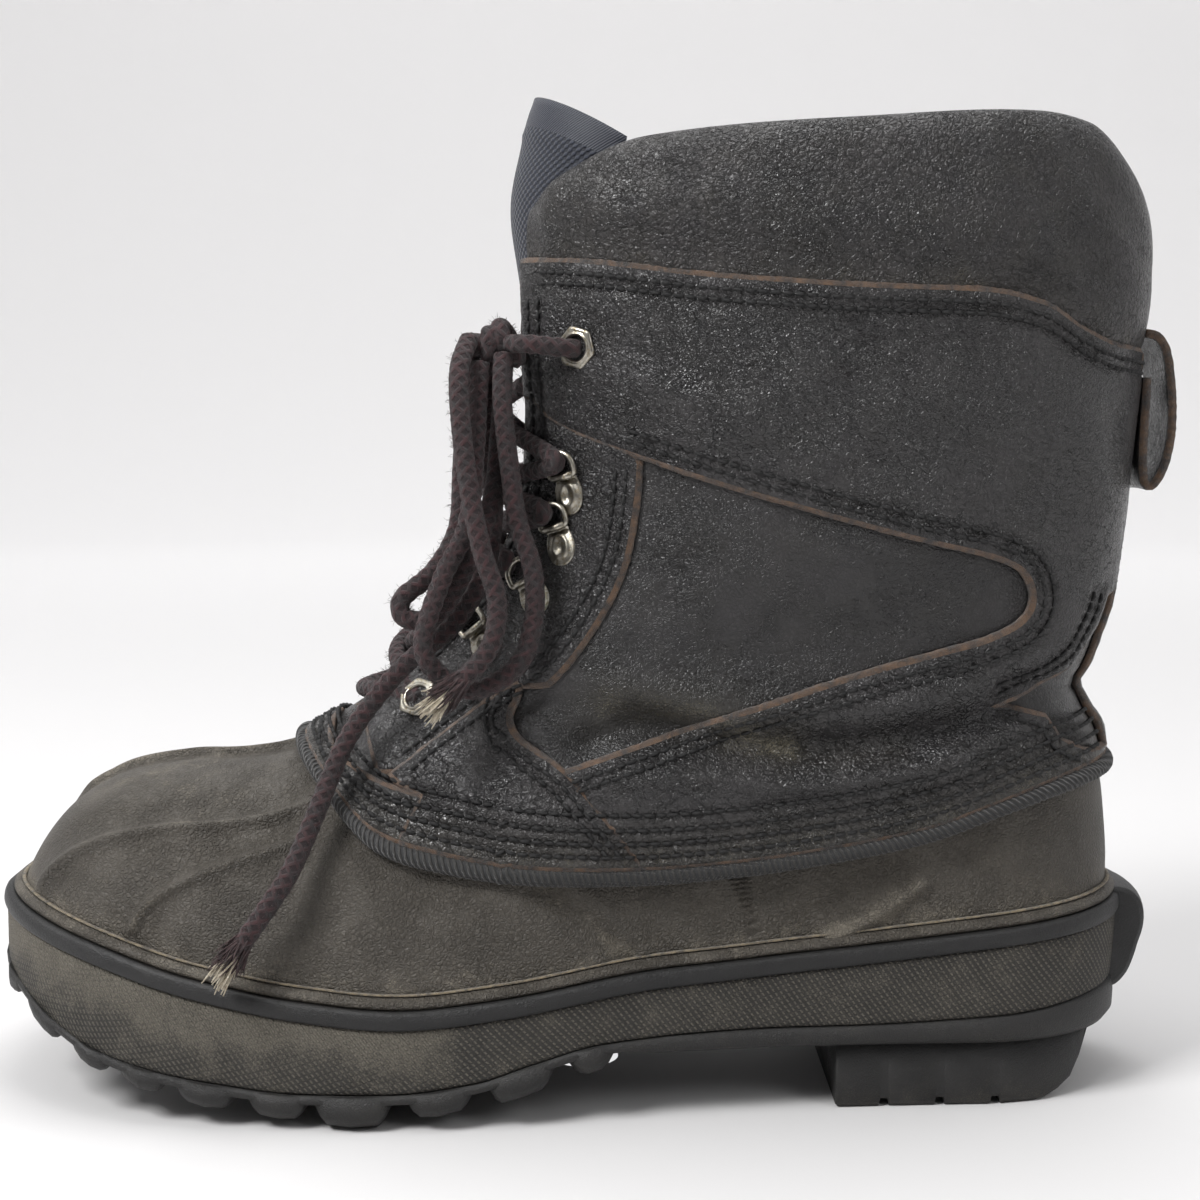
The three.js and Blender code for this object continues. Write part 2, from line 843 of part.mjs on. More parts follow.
function makeOutsole() {
  const plan = planPrism(solePlan(OUTSOLE_EDGE), VIEW.low, 60);
  const wide = planPrism(solePlan(OUTSOLE_EDGE + 0.9), VIEW.low, 60);
  const body = plan.intersect(below(soleLine)).intersect(above(outsoleLine));
  const channel = box(
    new THREE.Vector3(CHANNEL.from, -CHANNEL.half, VIEW.low),
    new THREE.Vector3(CHANNEL.to, CHANNEL.half, 60),
  );
  const lugs = LUGS.map(lugSolid).reduce((all, lug) => all.add(lug));
  const shaped = lugs.intersect(wide).intersect(below(soleLine, -0.6));
  const cut = shaped.subtract(channel.intersect(below(outsoleLine, 0.2)));
  addPiece('outsole', body.add(cut), 'blackRubber');
}

function makeHeel() {
  const outline = [
    { x: HEEL.front, z: 0 },
    { x: HEEL.flatEnd, z: 0 },
    { x: HEEL.bevelEnd, z: HEEL.bevel },
    { x: HEEL.back, z: HEEL.top },
    { x: HEEL.front - 1, z: HEEL.top },
  ];
  let heel = planPrism(solePlan(1), VIEW.low, 60).intersect(sidePrism(outline));
  for (let i = 0; i < HEEL_NOTCH.count; i += 1) {
    const x = HEEL_NOTCH.first + i * HEEL_NOTCH.pitch;
    heel = heel.subtract(box(
      new THREE.Vector3(x - HEEL_NOTCH.width / 2, -REACH, -1),
      new THREE.Vector3(x + HEEL_NOTCH.width / 2, REACH, HEEL_NOTCH.depth),
    ));
  }
  addPiece('heel', heel, 'blackRubber');
}

const STRIPE_HALF = 2.5;
const BAND_FACE = FIT + BAND_WALL;

function makeMidsole() {
  const outside = form(BAND_FACE).intersect(above(soleLine, FIT));
  const inside = form(FIT).intersect(above(soleLine, FIT + CUP_FLOOR));
  const trimmed = below(stripeLine, -STRIPE_HALF - FIT);
  addPiece('midsole', outside.subtract(inside).intersect(trimmed), 'bandRubber');
}

function makeStripe() {
  const strip = above(stripeLine, -STRIPE_HALF).intersect(below(stripeLine, STRIPE_HALF));
  addPiece('stripe', wall(BAND_FACE + 1.2, FIT).intersect(strip), 'blackRubber');
}

function makeHeelKick() {
  const outline = [
    { x: 148, z: 53 },
    { x: 157, z: 50 },
    { x: 160.8, z: 42 },
    { x: 160, z: 33 },
    { x: 154, z: 25 },
    { x: 148, z: 23 },
  ];
  const block = sidePrism(outline, -15, 15).intersect(form(11));
  addPiece('heel_kick', block.subtract(form(BAND_FACE + 1.6)), 'blackRubber');
}

function makeInsole() {
  const floor = FIT + CUP_FLOOR + FIT;
  const slab = form(-SHELL_WALL - FIT)
    .intersect(above(soleLine, floor))
    .intersect(below(soleLine, floor + INSOLE));
  addPiece('insole', slab, 'felt');
}

// Rubber shell

const LEATHER_LIFT = ROPE / 2 + FIT; // the leather's raw edge above the rope's middle

function ridgeSolid(route) {
  const left = route.map((p) => ({ x: p.x, y: p.y - RIDGE.half }));
  const right = route.map((p) => ({ x: p.x, y: p.y + RIDGE.half })).reverse();
  const strip = planPrism([...left, ...right], 50, 110);
  return strip.intersect(wall(RIDGE.high, -1));
}

function makeShell() {
  const belowRope = sidePrism([
    { x: VIEW.left, z: VIEW.low },
    { x: VIEW.left, z: VIEW.high },
    ...lineSamples(ropeLine, ROPE / 2).filter((p) => p.x > ROPE_LINE[0].x - 4),
    { x: VIEW.right, z: VIEW.low },
  ]);
  const body = wall(0, -SHELL_WALL)
    .intersect(above(soleLine, FIT + CUP_FLOOR + FIT))
    .intersect(belowRope);
  const ridges = TOE_RIDGES.map(ridgeSolid).reduce((all, ridge) => all.add(ridge));
  addPiece('shell', body.add(ridges), 'shellRubber');
}

function makeBinding() {
  const strip = above(ropeLine, -ROPE / 2).intersect(below(ropeLine, ROPE / 2));
  addPiece('binding', wall(FIT + ROPE, FIT).intersect(strip), 'blackRubber');
}

// Leather upper and its overlays

function throatCut(margin) {
  const heights = THROAT.map((row) => row.z);
  const right = heights.map((z) => ({ y: throatHalf(z) + margin, z: z - margin }));
  const left = heights.map((z) => ({ y: -throatHalf(z) - margin, z: z - margin })).reverse();
  return frontPrism([...right, ...left], -100, 40);
}

function eyeletHoles(radius) {
  const holes = [];
  for (const side of [-1, 1]) {
    for (const spot of EYELETS) {
      const place = sidePlace(spot.x, spot.z, side);
      const geometry = new THREE.CylinderGeometry(radius, radius, 24, 10);
      const up = new THREE.Vector3(0, 1, 0);
      const turn = new THREE.Quaternion().setFromUnitVectors(up, place.normal);
      geometry.applyQuaternion(turn);
      geometry.translate(place.point.x, place.point.y, place.point.z);
      holes.push(solid(geometry));
    }
  }
  return holes.reduce((all, hole) => all.add(hole));
}

const holes = eyeletHoles(EYELET.hole / 2);

function makeUpper() {
  const body = wall(LEATHER, -LINING)
    .intersect(above(ropeLine, LEATHER_LIFT))
    .intersect(below(collarLow, -FIT))
    .subtract(throatCut(0))
    .subtract(holes);
  addPiece('upper', body, 'leather');
}

function overlayWall() {
  return wall(OVERLAY_FACE, OVER_SHELL)
    .intersect(above(ropeLine, LEATHER_LIFT))
    .intersect(below(collarLow, -FIT))
    .subtract(throatCut(THROAT_MARGIN))
    .subtract(holes);
}

const SIDES = [
  { name: 'outer', from: -REACH, to: -0.2 },
  { name: 'inner', from: 0.2, to: REACH },
];
const BACKSTAY_HALF = 8.7;
const SEAM_GAP = 0.4;

function shifted(rows, dx, dz) {
  return rows.map((row) => ({ x: row.x + dx, z: row.z + dz }));
}

function makeOverlays() {
  const skin = overlayWall();
  const window = rounded(WINDOW);
  const facingEdge = rounded(FACING_EDGE);
  const vampEdge = rounded(VAMP_EDGE);

  const quarterOutline = [
    { x: -60, z: 260 },
    { x: -60, z: 200 },
    { x: -30, z: 194 },
    ...window,
    ...shifted(vampEdge.filter((p) => p.z < 89), SEAM_GAP, 0),
    { x: 30, z: 40 },
    { x: 172, z: 40 },
    ...QUARTER_BACK.slice().reverse(),
    { x: 172, z: 260 },
  ];
  const facingTop = shifted(window.filter((p) => p.x < 17 && p.z > 160), 0, -SEAM_GAP);
  const facingOutline = [
    { x: -60, z: 194 },
    { x: -30, z: 194 - SEAM_GAP },
    ...facingTop,
    ...facingEdge.filter((p) => p.z < 173 && p.z > 112.5),
    ...FACING_SEAM,
    ...FACING_TOE,
    { x: -60, z: 130 },
  ];
  const vampOutline = [
    ...shifted(FACING_SEAM, 0, -SEAM_GAP).reverse(),
    ...vampEdge,
    { x: 19, z: 40 },
    { x: -44, z: 40 },
    { x: -44.5, z: 71 },
    { x: -37.8, z: 82.8 },
    { x: -46.5, z: 87 },
  ];
  const quarter = sidePrism(quarterOutline);
  const facing = sidePrism(facingOutline);
  const vamp = sidePrism(vampOutline);
  const backGap = box(
    new THREE.Vector3(100, -BACKSTAY_HALF - SEAM_GAP, 0),
    new THREE.Vector3(VIEW.right, BACKSTAY_HALF + SEAM_GAP, VIEW.high),
  );
  for (const side of SIDES) {
    const half = box(
      new THREE.Vector3(VIEW.left, side.from, 0),
      new THREE.Vector3(VIEW.right, side.to, VIEW.high),
    );
    const flank = skin.intersect(half);
    addPiece(`quarter_${side.name}`, flank.intersect(quarter).subtract(backGap), 'leather');
    addPiece(`facing_${side.name}`, flank.intersect(facing), 'leather');
    addPiece(`vamp_${side.name}`, flank.intersect(vamp), 'leather');
  }
  const bandOutline = [
    ...rounded(BAND_TOP),
    { x: -45, z: 71 },
    { x: -45, z: 50 },
    { x: -120, z: 50 },
    { x: -120, z: 106 },
  ];
  addPiece('front_band', skin.intersect(sidePrism(bandOutline)), 'leather');
  const stayBox = box(
    new THREE.Vector3(100, -BACKSTAY_HALF, 0),
    new THREE.Vector3(VIEW.right, BACKSTAY_HALF, VIEW.high),
  );
  addPiece('backstay', skin.intersect(stayBox), 'leather');
}

// Padded collar: a rounded section swept from one edge of the throat around to the other

const COLLAR_SECTION = [
  { rise: 0, out: -4 },
  { rise: 0, out: 2 },
  { rise: 0.2, out: 3.6 },
  { rise: 0.6, out: 4 },
  { rise: 0.88, out: 2.6 },
  { rise: 1, out: 0 },
  { rise: 1, out: -2.4 },
  { rise: 0.85, out: -4.8 },
  { rise: 0.4, out: -5.4 },
];
const COLLAR_STATIONS = 26;
const COLLAR_SEAT = 0.9; // how far above the leather's top edge the collar begins

// The angle at which the form at a line of the side view is as wide as a half width.
function angleAtWidth(line, halfWidth) {
  let low = Math.PI / 2;
  let high = Math.PI;
  for (let step = 0; step < 24; step += 1) {
    const middle = (low + high) / 2;
    const point = ringPoint(middle, levelAt(middle, line));
    if (point.y > halfWidth) low = middle;
    else high = middle;
  }
  return (low + high) / 2;
}

function makeCollar() {
  const end = angleAtWidth(() => 235, throatHalf(235) + 0.8);
  const rows = [];
  for (let step = 0; step <= COLLAR_STATIONS; step += 1) {
    const angle = lerp(-end, end, step / COLLAR_STATIONS);
    const endShare = Math.abs(step / COLLAR_STATIONS - 0.5) * 2;
    const thin = lerp(1, 0.55, smooth(0.9, 1, endShare));
    rows.push(COLLAR_SECTION.map((p) => {
      const line = (x) => lerp(collarLow(x) + COLLAR_SEAT, collarTop(x), p.rise);
      return offsetPoint(angle, levelAt(angle, line), p.out * thin);
    }));
  }
  addPiece('collar', skinSolid(rows, false), 'collarLeather');
}

// Tongue: a padded sheet under the throat, wider than it, that stands above the collar

const TONGUE = [
  { z: 90, half: 17, depth: 3.4 },
  { z: 110, half: 20, depth: 3.4 },
  { z: 140, half: 24, depth: 3.6 },
  { z: 190, half: 29, depth: 4.5 },
  { z: 215, half: 33, depth: 6.6 },
  { z: 240, half: 35, depth: 6.8 },
  { z: 275, half: 35, depth: 7 },
];
const TONGUE_THICK = 3;
const TONGUE_TOP = 270;
const TONGUE_FOOT = 93;
const TONGUE_STEPS = { up: 10, across: 6 };

function makeTongue() {
  const halfAt = curve(TONGUE, 'z', 'half');
  const depthAt = curve(TONGUE, 'z', 'depth');
  const rows = [];
  for (let step = 0; step <= TONGUE_STEPS.up; step += 1) {
    const share = step / TONGUE_STEPS.up;
    const outerFace = [];
    const innerFace = [];
    for (let i = 0; i <= TONGUE_STEPS.across; i += 1) {
      const across = (2 * i) / TONGUE_STEPS.across - 1;
      const top = TONGUE_TOP - 13 * across * across;
      const z = lerp(TONGUE_FOOT + 5 * across * across, top, share);
      const line = () => z;
      const edge = angleAtWidth(line, halfAt(z));
      const angle = Math.PI - (Math.PI - edge) * across;
      const level = levelAt(angle, line);
      const taper = i === 0 || i === TONGUE_STEPS.across ? 0.5 : 1;
      const depth = depthAt(z);
      outerFace.push(offsetPoint(angle, level, -depth));
      innerFace.push(offsetPoint(angle, level, -depth - TONGUE_THICK * taper));
    }
    rows.push([...outerFace, ...innerFace.reverse()]);
  }
  addPiece('tongue', skinSolid(rows, false), 'nylon');
}

function makePullLoop() {
  const shape = new THREE.Shape(PULL_LOOP_OUTER.map((p) => new THREE.Vector2(p.x, p.z)));
  shape.holes.push(new THREE.Path(PULL_LOOP_SLOT.map((p) => new THREE.Vector2(p.x, p.z))));
  const width = 2 * PULL_LOOP_HALF;
  const geometry = new THREE.ExtrudeGeometry(shape, { depth: width, bevelEnabled: false });
  geometry.rotateX(Math.PI / 2);
  geometry.translate(0, PULL_LOOP_HALF, 0);
  addPiece('pull_loop', solid(geometry).subtract(form(OVERLAY_FACE + FIT)), 'leather');
}

// Metal: each piece is drawn lying flat, with +Z away from the boot and +Y up its side

const METAL_LIFT = OVERLAY_FACE + 1.2; // where a piece starts before it is let down on the leather
const METAL_SEARCH = 5;

// Pieces drawn flat, joined, turned to the boot's side and let down onto the leather.
function placed(geometries, x, z, side, lean) {
  const place = sidePlace(x, z, side);
  const out = place.normal;
  const up = new THREE.Vector3(-Math.sin(lean), 0, Math.cos(lean));
  up.addScaledVector(out, -up.dot(out)).normalize();
  const across = up.clone().cross(out);
  const origin = place.point.clone().addScaledVector(out, METAL_LIFT);
  const matrix = new THREE.Matrix4().makeBasis(across, up, out).setPosition(origin);
  const solids = geometries.map((geometry) => solid(geometry.clone().applyMatrix4(matrix)));
  const body = solids.reduce((all, next) => all.add(next));
  const drop = FIT - body.minGap(form(OVERLAY_FACE), METAL_SEARCH);
  return body.translate(out.clone().multiplyScalar(drop).toArray());
}

function makeEyelets() {
  const shape = circleShape(EYELET.across / 2, 6);
  shape.holes.push(circleShape(EYELET.hole / 2, 12));
  const ring = new THREE.ExtrudeGeometry(shape, { depth: EYELET.thick, bevelEnabled: false });
  for (const side of SIDES) {
    const sign = Math.sign(side.to + side.from);
    for (const spot of EYELETS) {
      const body = placed([ring], spot.x, spot.z, sign, EYELET.lean);
      addPiece(`eyelet_${spot.name}_${side.name}`, body, 'metal');
    }
  }
}

function makeLaceRings() {
  const plateShape = circleShape(RING.plate / 2, 8, Math.PI / 8);
  const plate = new THREE.ExtrudeGeometry(plateShape, { depth: RING.thick, bevelEnabled: false });
  const loop = new THREE.TorusGeometry(RING.loop - RING.wire, RING.wire, 4, 8);
  loop.rotateX(0.35);
  loop.translate(0, RING.plate / 2 + RING.reach / 2, RING.wire + 1.4);
  for (const side of SIDES) {
    const sign = Math.sign(side.to + side.from);
    LACE_RINGS.forEach((spot, index) => {
      const body = placed([plate, loop], spot.x, spot.z, sign, spot.lean);
      addPiece(`lace_ring_${index + 1}_${side.name}`, body, 'metal');
    });
  }
}

// Lace: crossings in front of the tongue, then the bow

const LACE_LEVELS = [
  { z: 106, half: 18 },
  { z: 127, half: 18 },
  { z: 142, half: 20 },
  { z: 157, half: 20 },
  { z: 172, half: 21 },
  { z: 200, half: 27 },
];
const BAR_LIFT = 7.8;
const BAR_POINTS = 4;

// A crossing from one side at one level to the other side at another, over the throat.
function barRoute(from, to, sign) {
  const route = [];
  for (let i = 0; i <= BAR_POINTS; i += 1) {
    const share = i / BAR_POINTS;
    const z = lerp(from.z, to.z, share);
    const y = sign * lerp(from.half, -to.half, share);
    const line = () => z;
    const angle = angleAtWidth(line, Math.abs(y));
    const turned = y < 0 ? 2 * Math.PI - angle : angle;
    route.push(offsetPoint(turned, levelAt(turned, line), BAR_LIFT));
  }
  return route;
}

function knotSolid(grow) {
  const geometry = new THREE.SphereGeometry(1, 10, 7);
  geometry.scale(KNOT.long + grow, KNOT.wide + grow, KNOT.high + grow);
  geometry.translate(KNOT.x, KNOT.y, KNOT.z);
  return solid(geometry);
}

function makeLaceBars() {
  const radius = LACE / 2;
  const base = LACE_LEVELS[0];
  const bars = [tube(barRoute(base, base, 1), radius, 5, 5)];
  for (let i = 0; i < LACE_LEVELS.length - 1; i += 1) {
    for (const sign of [-1, 1]) {
      const route = barRoute(LACE_LEVELS[i], LACE_LEVELS[i + 1], sign);
      bars.push(tube(route, radius, 5, 4));
    }
  }
  const joined = bars.reduce((all, bar) => all.add(bar));
  addPiece('lace_bars', joined.subtract(knotSolid(FIT)), 'cord');
}

function makeBow() {
  const knotSpace = knotSolid(FIT);
  addPiece('bow_knot', knotSolid(0), 'cord');
  const lengths = [
    { name: 'bow_loop_front', route: LOOP_FRONT, steps: 17 },
    { name: 'bow_loop_back', route: LOOP_BACK, steps: 15 },
    { name: 'lace_end_short', route: END_SHORT, steps: 8 },
    { name: 'lace_end_long', route: END_LONG, steps: 13 },
  ];
  for (const cord of lengths) {
    const body = tube(cord.route, LACE / 2, 8, cord.steps);
    addPiece(cord.name, body.subtract(knotSpace), 'cord');
  }
}

makeOutsole();
makeHeel();
makeMidsole();
makeStripe();
makeHeelKick();
makeInsole();
makeShell();
makeBinding();
makeUpper();
makeOverlays();
makeCollar();
makeTongue();
makePullLoop();
makeEyelets();
makeLaceRings();
makeLaceBars();
makeBow();

export default boot;
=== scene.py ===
"""Insulated rubber boot for a left foot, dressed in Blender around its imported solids.

Shapes are worked out in millimetres in the boot's own frame, toe along -X, outer side
along -Y, and moved to the row's frame in metres when a mesh is made.
"""

import logging
import math
import sys
from dataclasses import dataclass, field
from enum import Enum
from typing import Callable, Sequence

import bmesh
import bpy
import numpy as np
from mathutils import Euler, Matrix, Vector
from mathutils.geometry import delaunay_2d_cdt
from mathutils.kdtree import KDTree

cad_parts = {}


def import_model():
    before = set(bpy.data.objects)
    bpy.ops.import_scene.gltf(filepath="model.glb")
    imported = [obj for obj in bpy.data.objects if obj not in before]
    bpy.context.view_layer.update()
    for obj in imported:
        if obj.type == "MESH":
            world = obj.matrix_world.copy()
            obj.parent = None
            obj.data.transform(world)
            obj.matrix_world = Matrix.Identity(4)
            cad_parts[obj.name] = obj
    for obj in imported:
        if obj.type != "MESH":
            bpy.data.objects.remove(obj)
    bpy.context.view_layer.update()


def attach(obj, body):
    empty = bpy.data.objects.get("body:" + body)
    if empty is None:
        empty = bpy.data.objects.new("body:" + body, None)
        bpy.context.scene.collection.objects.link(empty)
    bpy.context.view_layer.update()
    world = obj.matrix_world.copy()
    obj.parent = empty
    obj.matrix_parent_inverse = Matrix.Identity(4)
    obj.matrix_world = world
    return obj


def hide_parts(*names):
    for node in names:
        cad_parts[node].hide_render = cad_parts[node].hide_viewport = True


LOG = logging.getLogger("boot")

Rows = Sequence[tuple[float, float]]
Line = Callable[[np.ndarray], np.ndarray]

MM = 0.001
ORIGIN = np.array([-2.5, -0.7, 0.0])  # from the boot's frame to the row's frame, mm
BODY = "root"
UV_SCALE = 0.01  # flat coordinate for each mm of surface
MERGE = 0.004  # corners nearer than this are one, mm
TUBE_UV = 2.5  # flat distance across a tube for each radian of turn, mm

FIT = 0.3
SHELL_WALL = 3.0
LEATHER = 2.0
LINING = 2.5
OVERLAY = 1.6
BAND_FACE = 3.3
ROPE = 4.4
LACE = 5.0
BRAID_PITCH = 3.4
BRAID_STRANDS = 8
OVER_SHELL = LEATHER + FIT
OVERLAY_FACE = OVER_SHELL + OVERLAY


class Side(Enum):
    """A side of the boot, with the sign of Y there."""

    OUTER = -1
    INNER = 1

    @property
    def turn(self) -> tuple[float, float]:
        """The angles on the last between which it lies."""
        return (0.0, math.pi) if self is Side.INNER else (math.pi, 2 * math.pi)

    @property
    def other(self) -> "Side":
        """The side across the boot."""
        return Side.INNER if self is Side.OUTER else Side.OUTER


def metres(points: np.ndarray) -> np.ndarray:
    """Points of the boot's frame in mm, moved to the row's frame in metres."""
    return (np.asarray(points, float) + ORIGIN) * MM


def lerp(a: np.ndarray, b: np.ndarray, share: np.ndarray) -> np.ndarray:
    """The value at a share of the way from a to b."""
    return a + (b - a) * share


def smooth(start: float, end: float, value: np.ndarray) -> np.ndarray:
    """A soft step from 0 at start to 1 at end."""
    t = np.clip((np.asarray(value, float) - start) / (end - start), 0, 1)
    return t * t * (3 - 2 * t)


def swell(away: np.ndarray, height: float, width: float) -> np.ndarray:
    """A soft swelling by the distance from its middle."""
    return height * np.exp(-((away / width) ** 2))


def super_circle(share: np.ndarray, power: np.ndarray) -> np.ndarray:
    """The height of a rounded corner at a share of its width."""
    s = np.clip(share, 0, 1)
    return (1 - s**power) ** (1 / power)


class Curve:
    """A smooth curve through a table's rows that never swings past them."""

    def __init__(self, rows: Rows) -> None:
        """Works out the slope at each row.

        Args:
            rows: pairs of input and output, by rising input.
        """
        self.xs, self.ys = np.array(rows, float).T
        slopes = np.diff(self.ys) / np.diff(self.xs)
        product = slopes[:-1] * slopes[1:]
        total = np.where(product > 0, slopes[:-1] + slopes[1:], 1)
        inner = np.where(product > 0, 2 * product / total, 0)
        self.tangents = np.concatenate([slopes[:1], inner, slopes[-1:]])

    def __call__(self, value: np.ndarray) -> np.ndarray:
        """The output at each value, held at the ends."""
        x = np.clip(np.asarray(value, float), self.xs[0], self.xs[-1])
        i = np.clip(np.searchsorted(self.xs, x, side="right") - 1, 0, len(self.xs) - 2)
        width = self.xs[i + 1] - self.xs[i]
        t = (x - self.xs[i]) / width
        rest = 1 - t
        return (
            (1 + 2 * t) * rest * rest * self.ys[i]
            + t * rest * rest * width * self.tangents[i]
            + t * t * (3 - 2 * t) * self.ys[i + 1]
            - t * t * rest * width * self.tangents[i + 1]
        )


def catmull(points: np.ndarray, per_span: int, closed: bool = False) -> np.ndarray:
    """Points along a smooth curve through the given ones.

    Args:
        points: the points to pass through, one per row.
        per_span: how many points each span gets.
        closed: whether the last span runs back to the first point.

    Returns:
        The curve's points, one per row.
    """
    p = np.asarray(points, float)
    if closed:
        p = np.vstack([p[-1], p, p[0], p[1]])
    else:
        p = np.vstack([p[0], p, p[-1]])
    t = np.linspace(0, 1, per_span, endpoint=False)[:, None]
    spans = []
    for i in range(1, len(p) - 2):
        before = (p[i + 1] - p[i - 1]) / 2
        after = (p[i + 2] - p[i]) / 2
        spans.append(
            (2 * t**3 - 3 * t**2 + 1) * p[i]
            + (t**3 - 2 * t**2 + t) * before
            + (3 * t**2 - 2 * t**3) * p[i + 1]
            + (t**3 - t**2) * after
        )
    if not closed:
        spans.append(p[-2:-1])
    return np.vstack(spans)


def distances(points: np.ndarray) -> np.ndarray:
    """How far along a row of points each one is."""
    steps = np.linalg.norm(np.diff(points, axis=0), axis=1)
    return np.concatenate([[0], np.cumsum(steps)])


def around(count: int) -> np.ndarray:
    """Angles of a full turn."""
    return np.linspace(0, 2 * math.pi, count, endpoint=False)


def constant(value: np.ndarray | float) -> Line:
    """A line that has the same value everywhere, or the given ones."""
    return lambda place: np.broadcast_to(value, np.shape(place))


def nearest(points: np.ndarray, places: np.ndarray) -> np.ndarray:
    """The distance from each point to the nearest of some places."""
    tree = KDTree(len(places))
    for i, place in enumerate(places):
        tree.insert(place, i)
    tree.balance()
    return np.array([tree.find(point)[2] for point in points])


def evenly(points: np.ndarray, step: float) -> np.ndarray:
    """A polyline's points again, spaced evenly about a step apart."""
    points = np.asarray(points, float)
    along = distances(points)
    count = max(2, int(round(along[-1] / step)) + 1)
    wanted = np.linspace(0, along[-1], count)
    columns = [np.interp(wanted, along, points[:, k]) for k in range(points.shape[1])]
    return np.stack(columns, 1)


def moved_aside(points: np.ndarray, distance: float) -> np.ndarray:
    """A polyline of the side view moved square to itself, to the left of its run."""
    points = np.asarray(points, float)
    run = np.gradient(points, axis=0)
    run /= np.linalg.norm(run, axis=1)[:, None] + 1e-9
    left = np.stack([-run[:, 1], run[:, 0]], 1)
    return points + left * distance


def inside(points: np.ndarray, outline: np.ndarray) -> np.ndarray:
    """Which points lie inside a closed outline."""
    x, y = points[:, 0], points[:, 1]
    result = np.zeros(len(points), bool)
    for a, b in zip(outline, np.roll(outline, -1, axis=0)):
        if a[1] == b[1]:
            continue
        crosses = (a[1] > y) != (b[1] > y)
        reach = (b[0] - a[0]) * (y - a[1]) / (b[1] - a[1]) + a[0]
        result ^= crosses & (x < reach)
    return result


def to_polyline(points: np.ndarray, line: np.ndarray) -> np.ndarray:
    """The distance from each point to an open polyline."""
    best = np.full(len(points), np.inf)
    for a, b in zip(line[:-1], line[1:]):
        ab = b - a
        t = np.clip(((points - a) @ ab) / (ab @ ab + 1e-12), 0, 1)
        best = np.minimum(best, np.linalg.norm(points - a - t[:, None] * ab, axis=1))
    return best


# Camera and lace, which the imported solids' cords follow


@dataclass(frozen=True)
class PhotoCamera:
    """The camera at the photograph's angle to the boot."""

    place: tuple[float, float, float] = (7.3, -520.0, 178.0)
    pitch: float = 5.06
    lens: float = 55.5
    sensor: float = 36.0
    nearest: float = 0.01

    def build(self) -> None:
        """Makes the camera and hands it to the scene."""
        data = bpy.data.cameras.new("camera")
        data.lens = self.lens
        data.sensor_width = self.sensor
        data.clip_start = self.nearest
        camera = bpy.data.objects.new("camera", data)
        camera.location = metres(self.place)
        camera.rotation_euler = Euler((math.radians(90 - self.pitch), 0, 0))
        bpy.context.scene.collection.objects.link(camera)
        bpy.context.scene.camera = camera


LOOP_FRONT = [
    (-18, -33, 199), (-18, -38, 187), (-16, -40, 169), (-14, -41, 156), (-10, -43, 143),
    (-10, -44, 130), (-14, -46, 119), (-24, -47, 113), (-33, -48, 116), (-38, -49.5, 125),
    (-33, -46.5, 142), (-27, -43.5, 155), (-25, -40, 174), (-24, -34, 197),
]
LOOP_BACK = [
    (-26, -28, 198), (-28, -31, 188), (-29, -33, 169), (-30, -36, 154), (-36, -39, 143),
    (-44, -42, 136), (-43, -43, 131), (-35, -43, 132), (-27, -41.5, 145), (-21, -36.5, 161),
    (-19, -32, 180), (-18, -28, 198),
]
END_SHORT = [
    (-27, -32, 203), (-29, -42, 193), (-27, -47.5, 171), (-23, -50, 150), (-19, -49.5, 136),
    (-21, -51, 124), (-29, -53.5, 115),
]
END_LONG = [
    (-21.5, -24, 199), (-23, -24.5, 186), (-22, -25, 172), (-21, -28, 158), (-23, -35, 143),
    (-31, -38, 129), (-43, -37, 119), (-52, -36, 109), (-60, -39, 97), (-67, -47, 79),
    (-72, -53, 67), (-77, -57, 59), (-84, -60, 49),
]

# Sizes of the last, as the solids have them

PLAN_HALF = Curve([
    (-158, 54), (-120, 54.5), (-90, 55), (-60, 55), (-30, 52), (0, 46), (30, 40.5), (60, 38),
    (90, 38), (120, 38.5), (152, 38.5),
])
PLAN_MIDDLE = Curve([
    (-158, 7), (-120, 5), (-90, 2), (-60, -0.5), (-30, -3), (0, -5), (30, -5), (60, -3.5),
    (90, -1.5), (120, 0), (152, 0),
])
SOLE_LINE = Curve([
    (-160, 36), (-150, 31), (-136, 23), (-123, 17.5), (-108, 14), (-91, 11.5), (-70, 9.5),
    (-45, 9.8), (-24, 12.5), (-11, 16.5), (8, 21), (45, 23), (76, 23.2), (113, 25),
    (137, 28), (152, 30),
])
FRONT = [
    (-155, 27), (-157.5, 40), (-152, 60), (-142, 74.5), (-128, 83.5), (-110, 87.5),
    (-92, 88.5), (-76, 92), (-61, 101), (-45, 116), (-32, 130), (-22.5, 146), (-18, 163),
    (-16.5, 180), (-17, 205), (-17, 236), (-13, 257), (-8, 278),
]
BACK = Curve([
    (14, 146), (30, 148.5), (45, 149.5), (60, 149.8), (75, 148.8), (85, 147.5), (95, 143.5),
    (104, 140), (112, 139.5), (122, 142.5), (135, 146.5), (166, 149.5), (206, 153),
    (234, 154), (278, 151),
])
SHAFT_HALF = Curve([
    (50, 40), (70, 41), (100, 40.5), (130, 42.5), (160, 45.5), (200, 48.5), (240, 50),
    (278, 50),
])
RING_BACK = Curve([
    (0, 23), (0.17, 36), (0.275, 46), (0.378, 60), (0.496, 95), (0.609, 140), (0.787, 205),
    (1, 278),
])
STRIPE_LINE = Curve([
    (-165, 54), (-153, 51), (-123, 43), (-97, 36), (-70, 31), (-44, 29), (-18, 31.5),
    (18, 37), (49, 39.5), (86, 43), (130, 48), (160, 51),
])
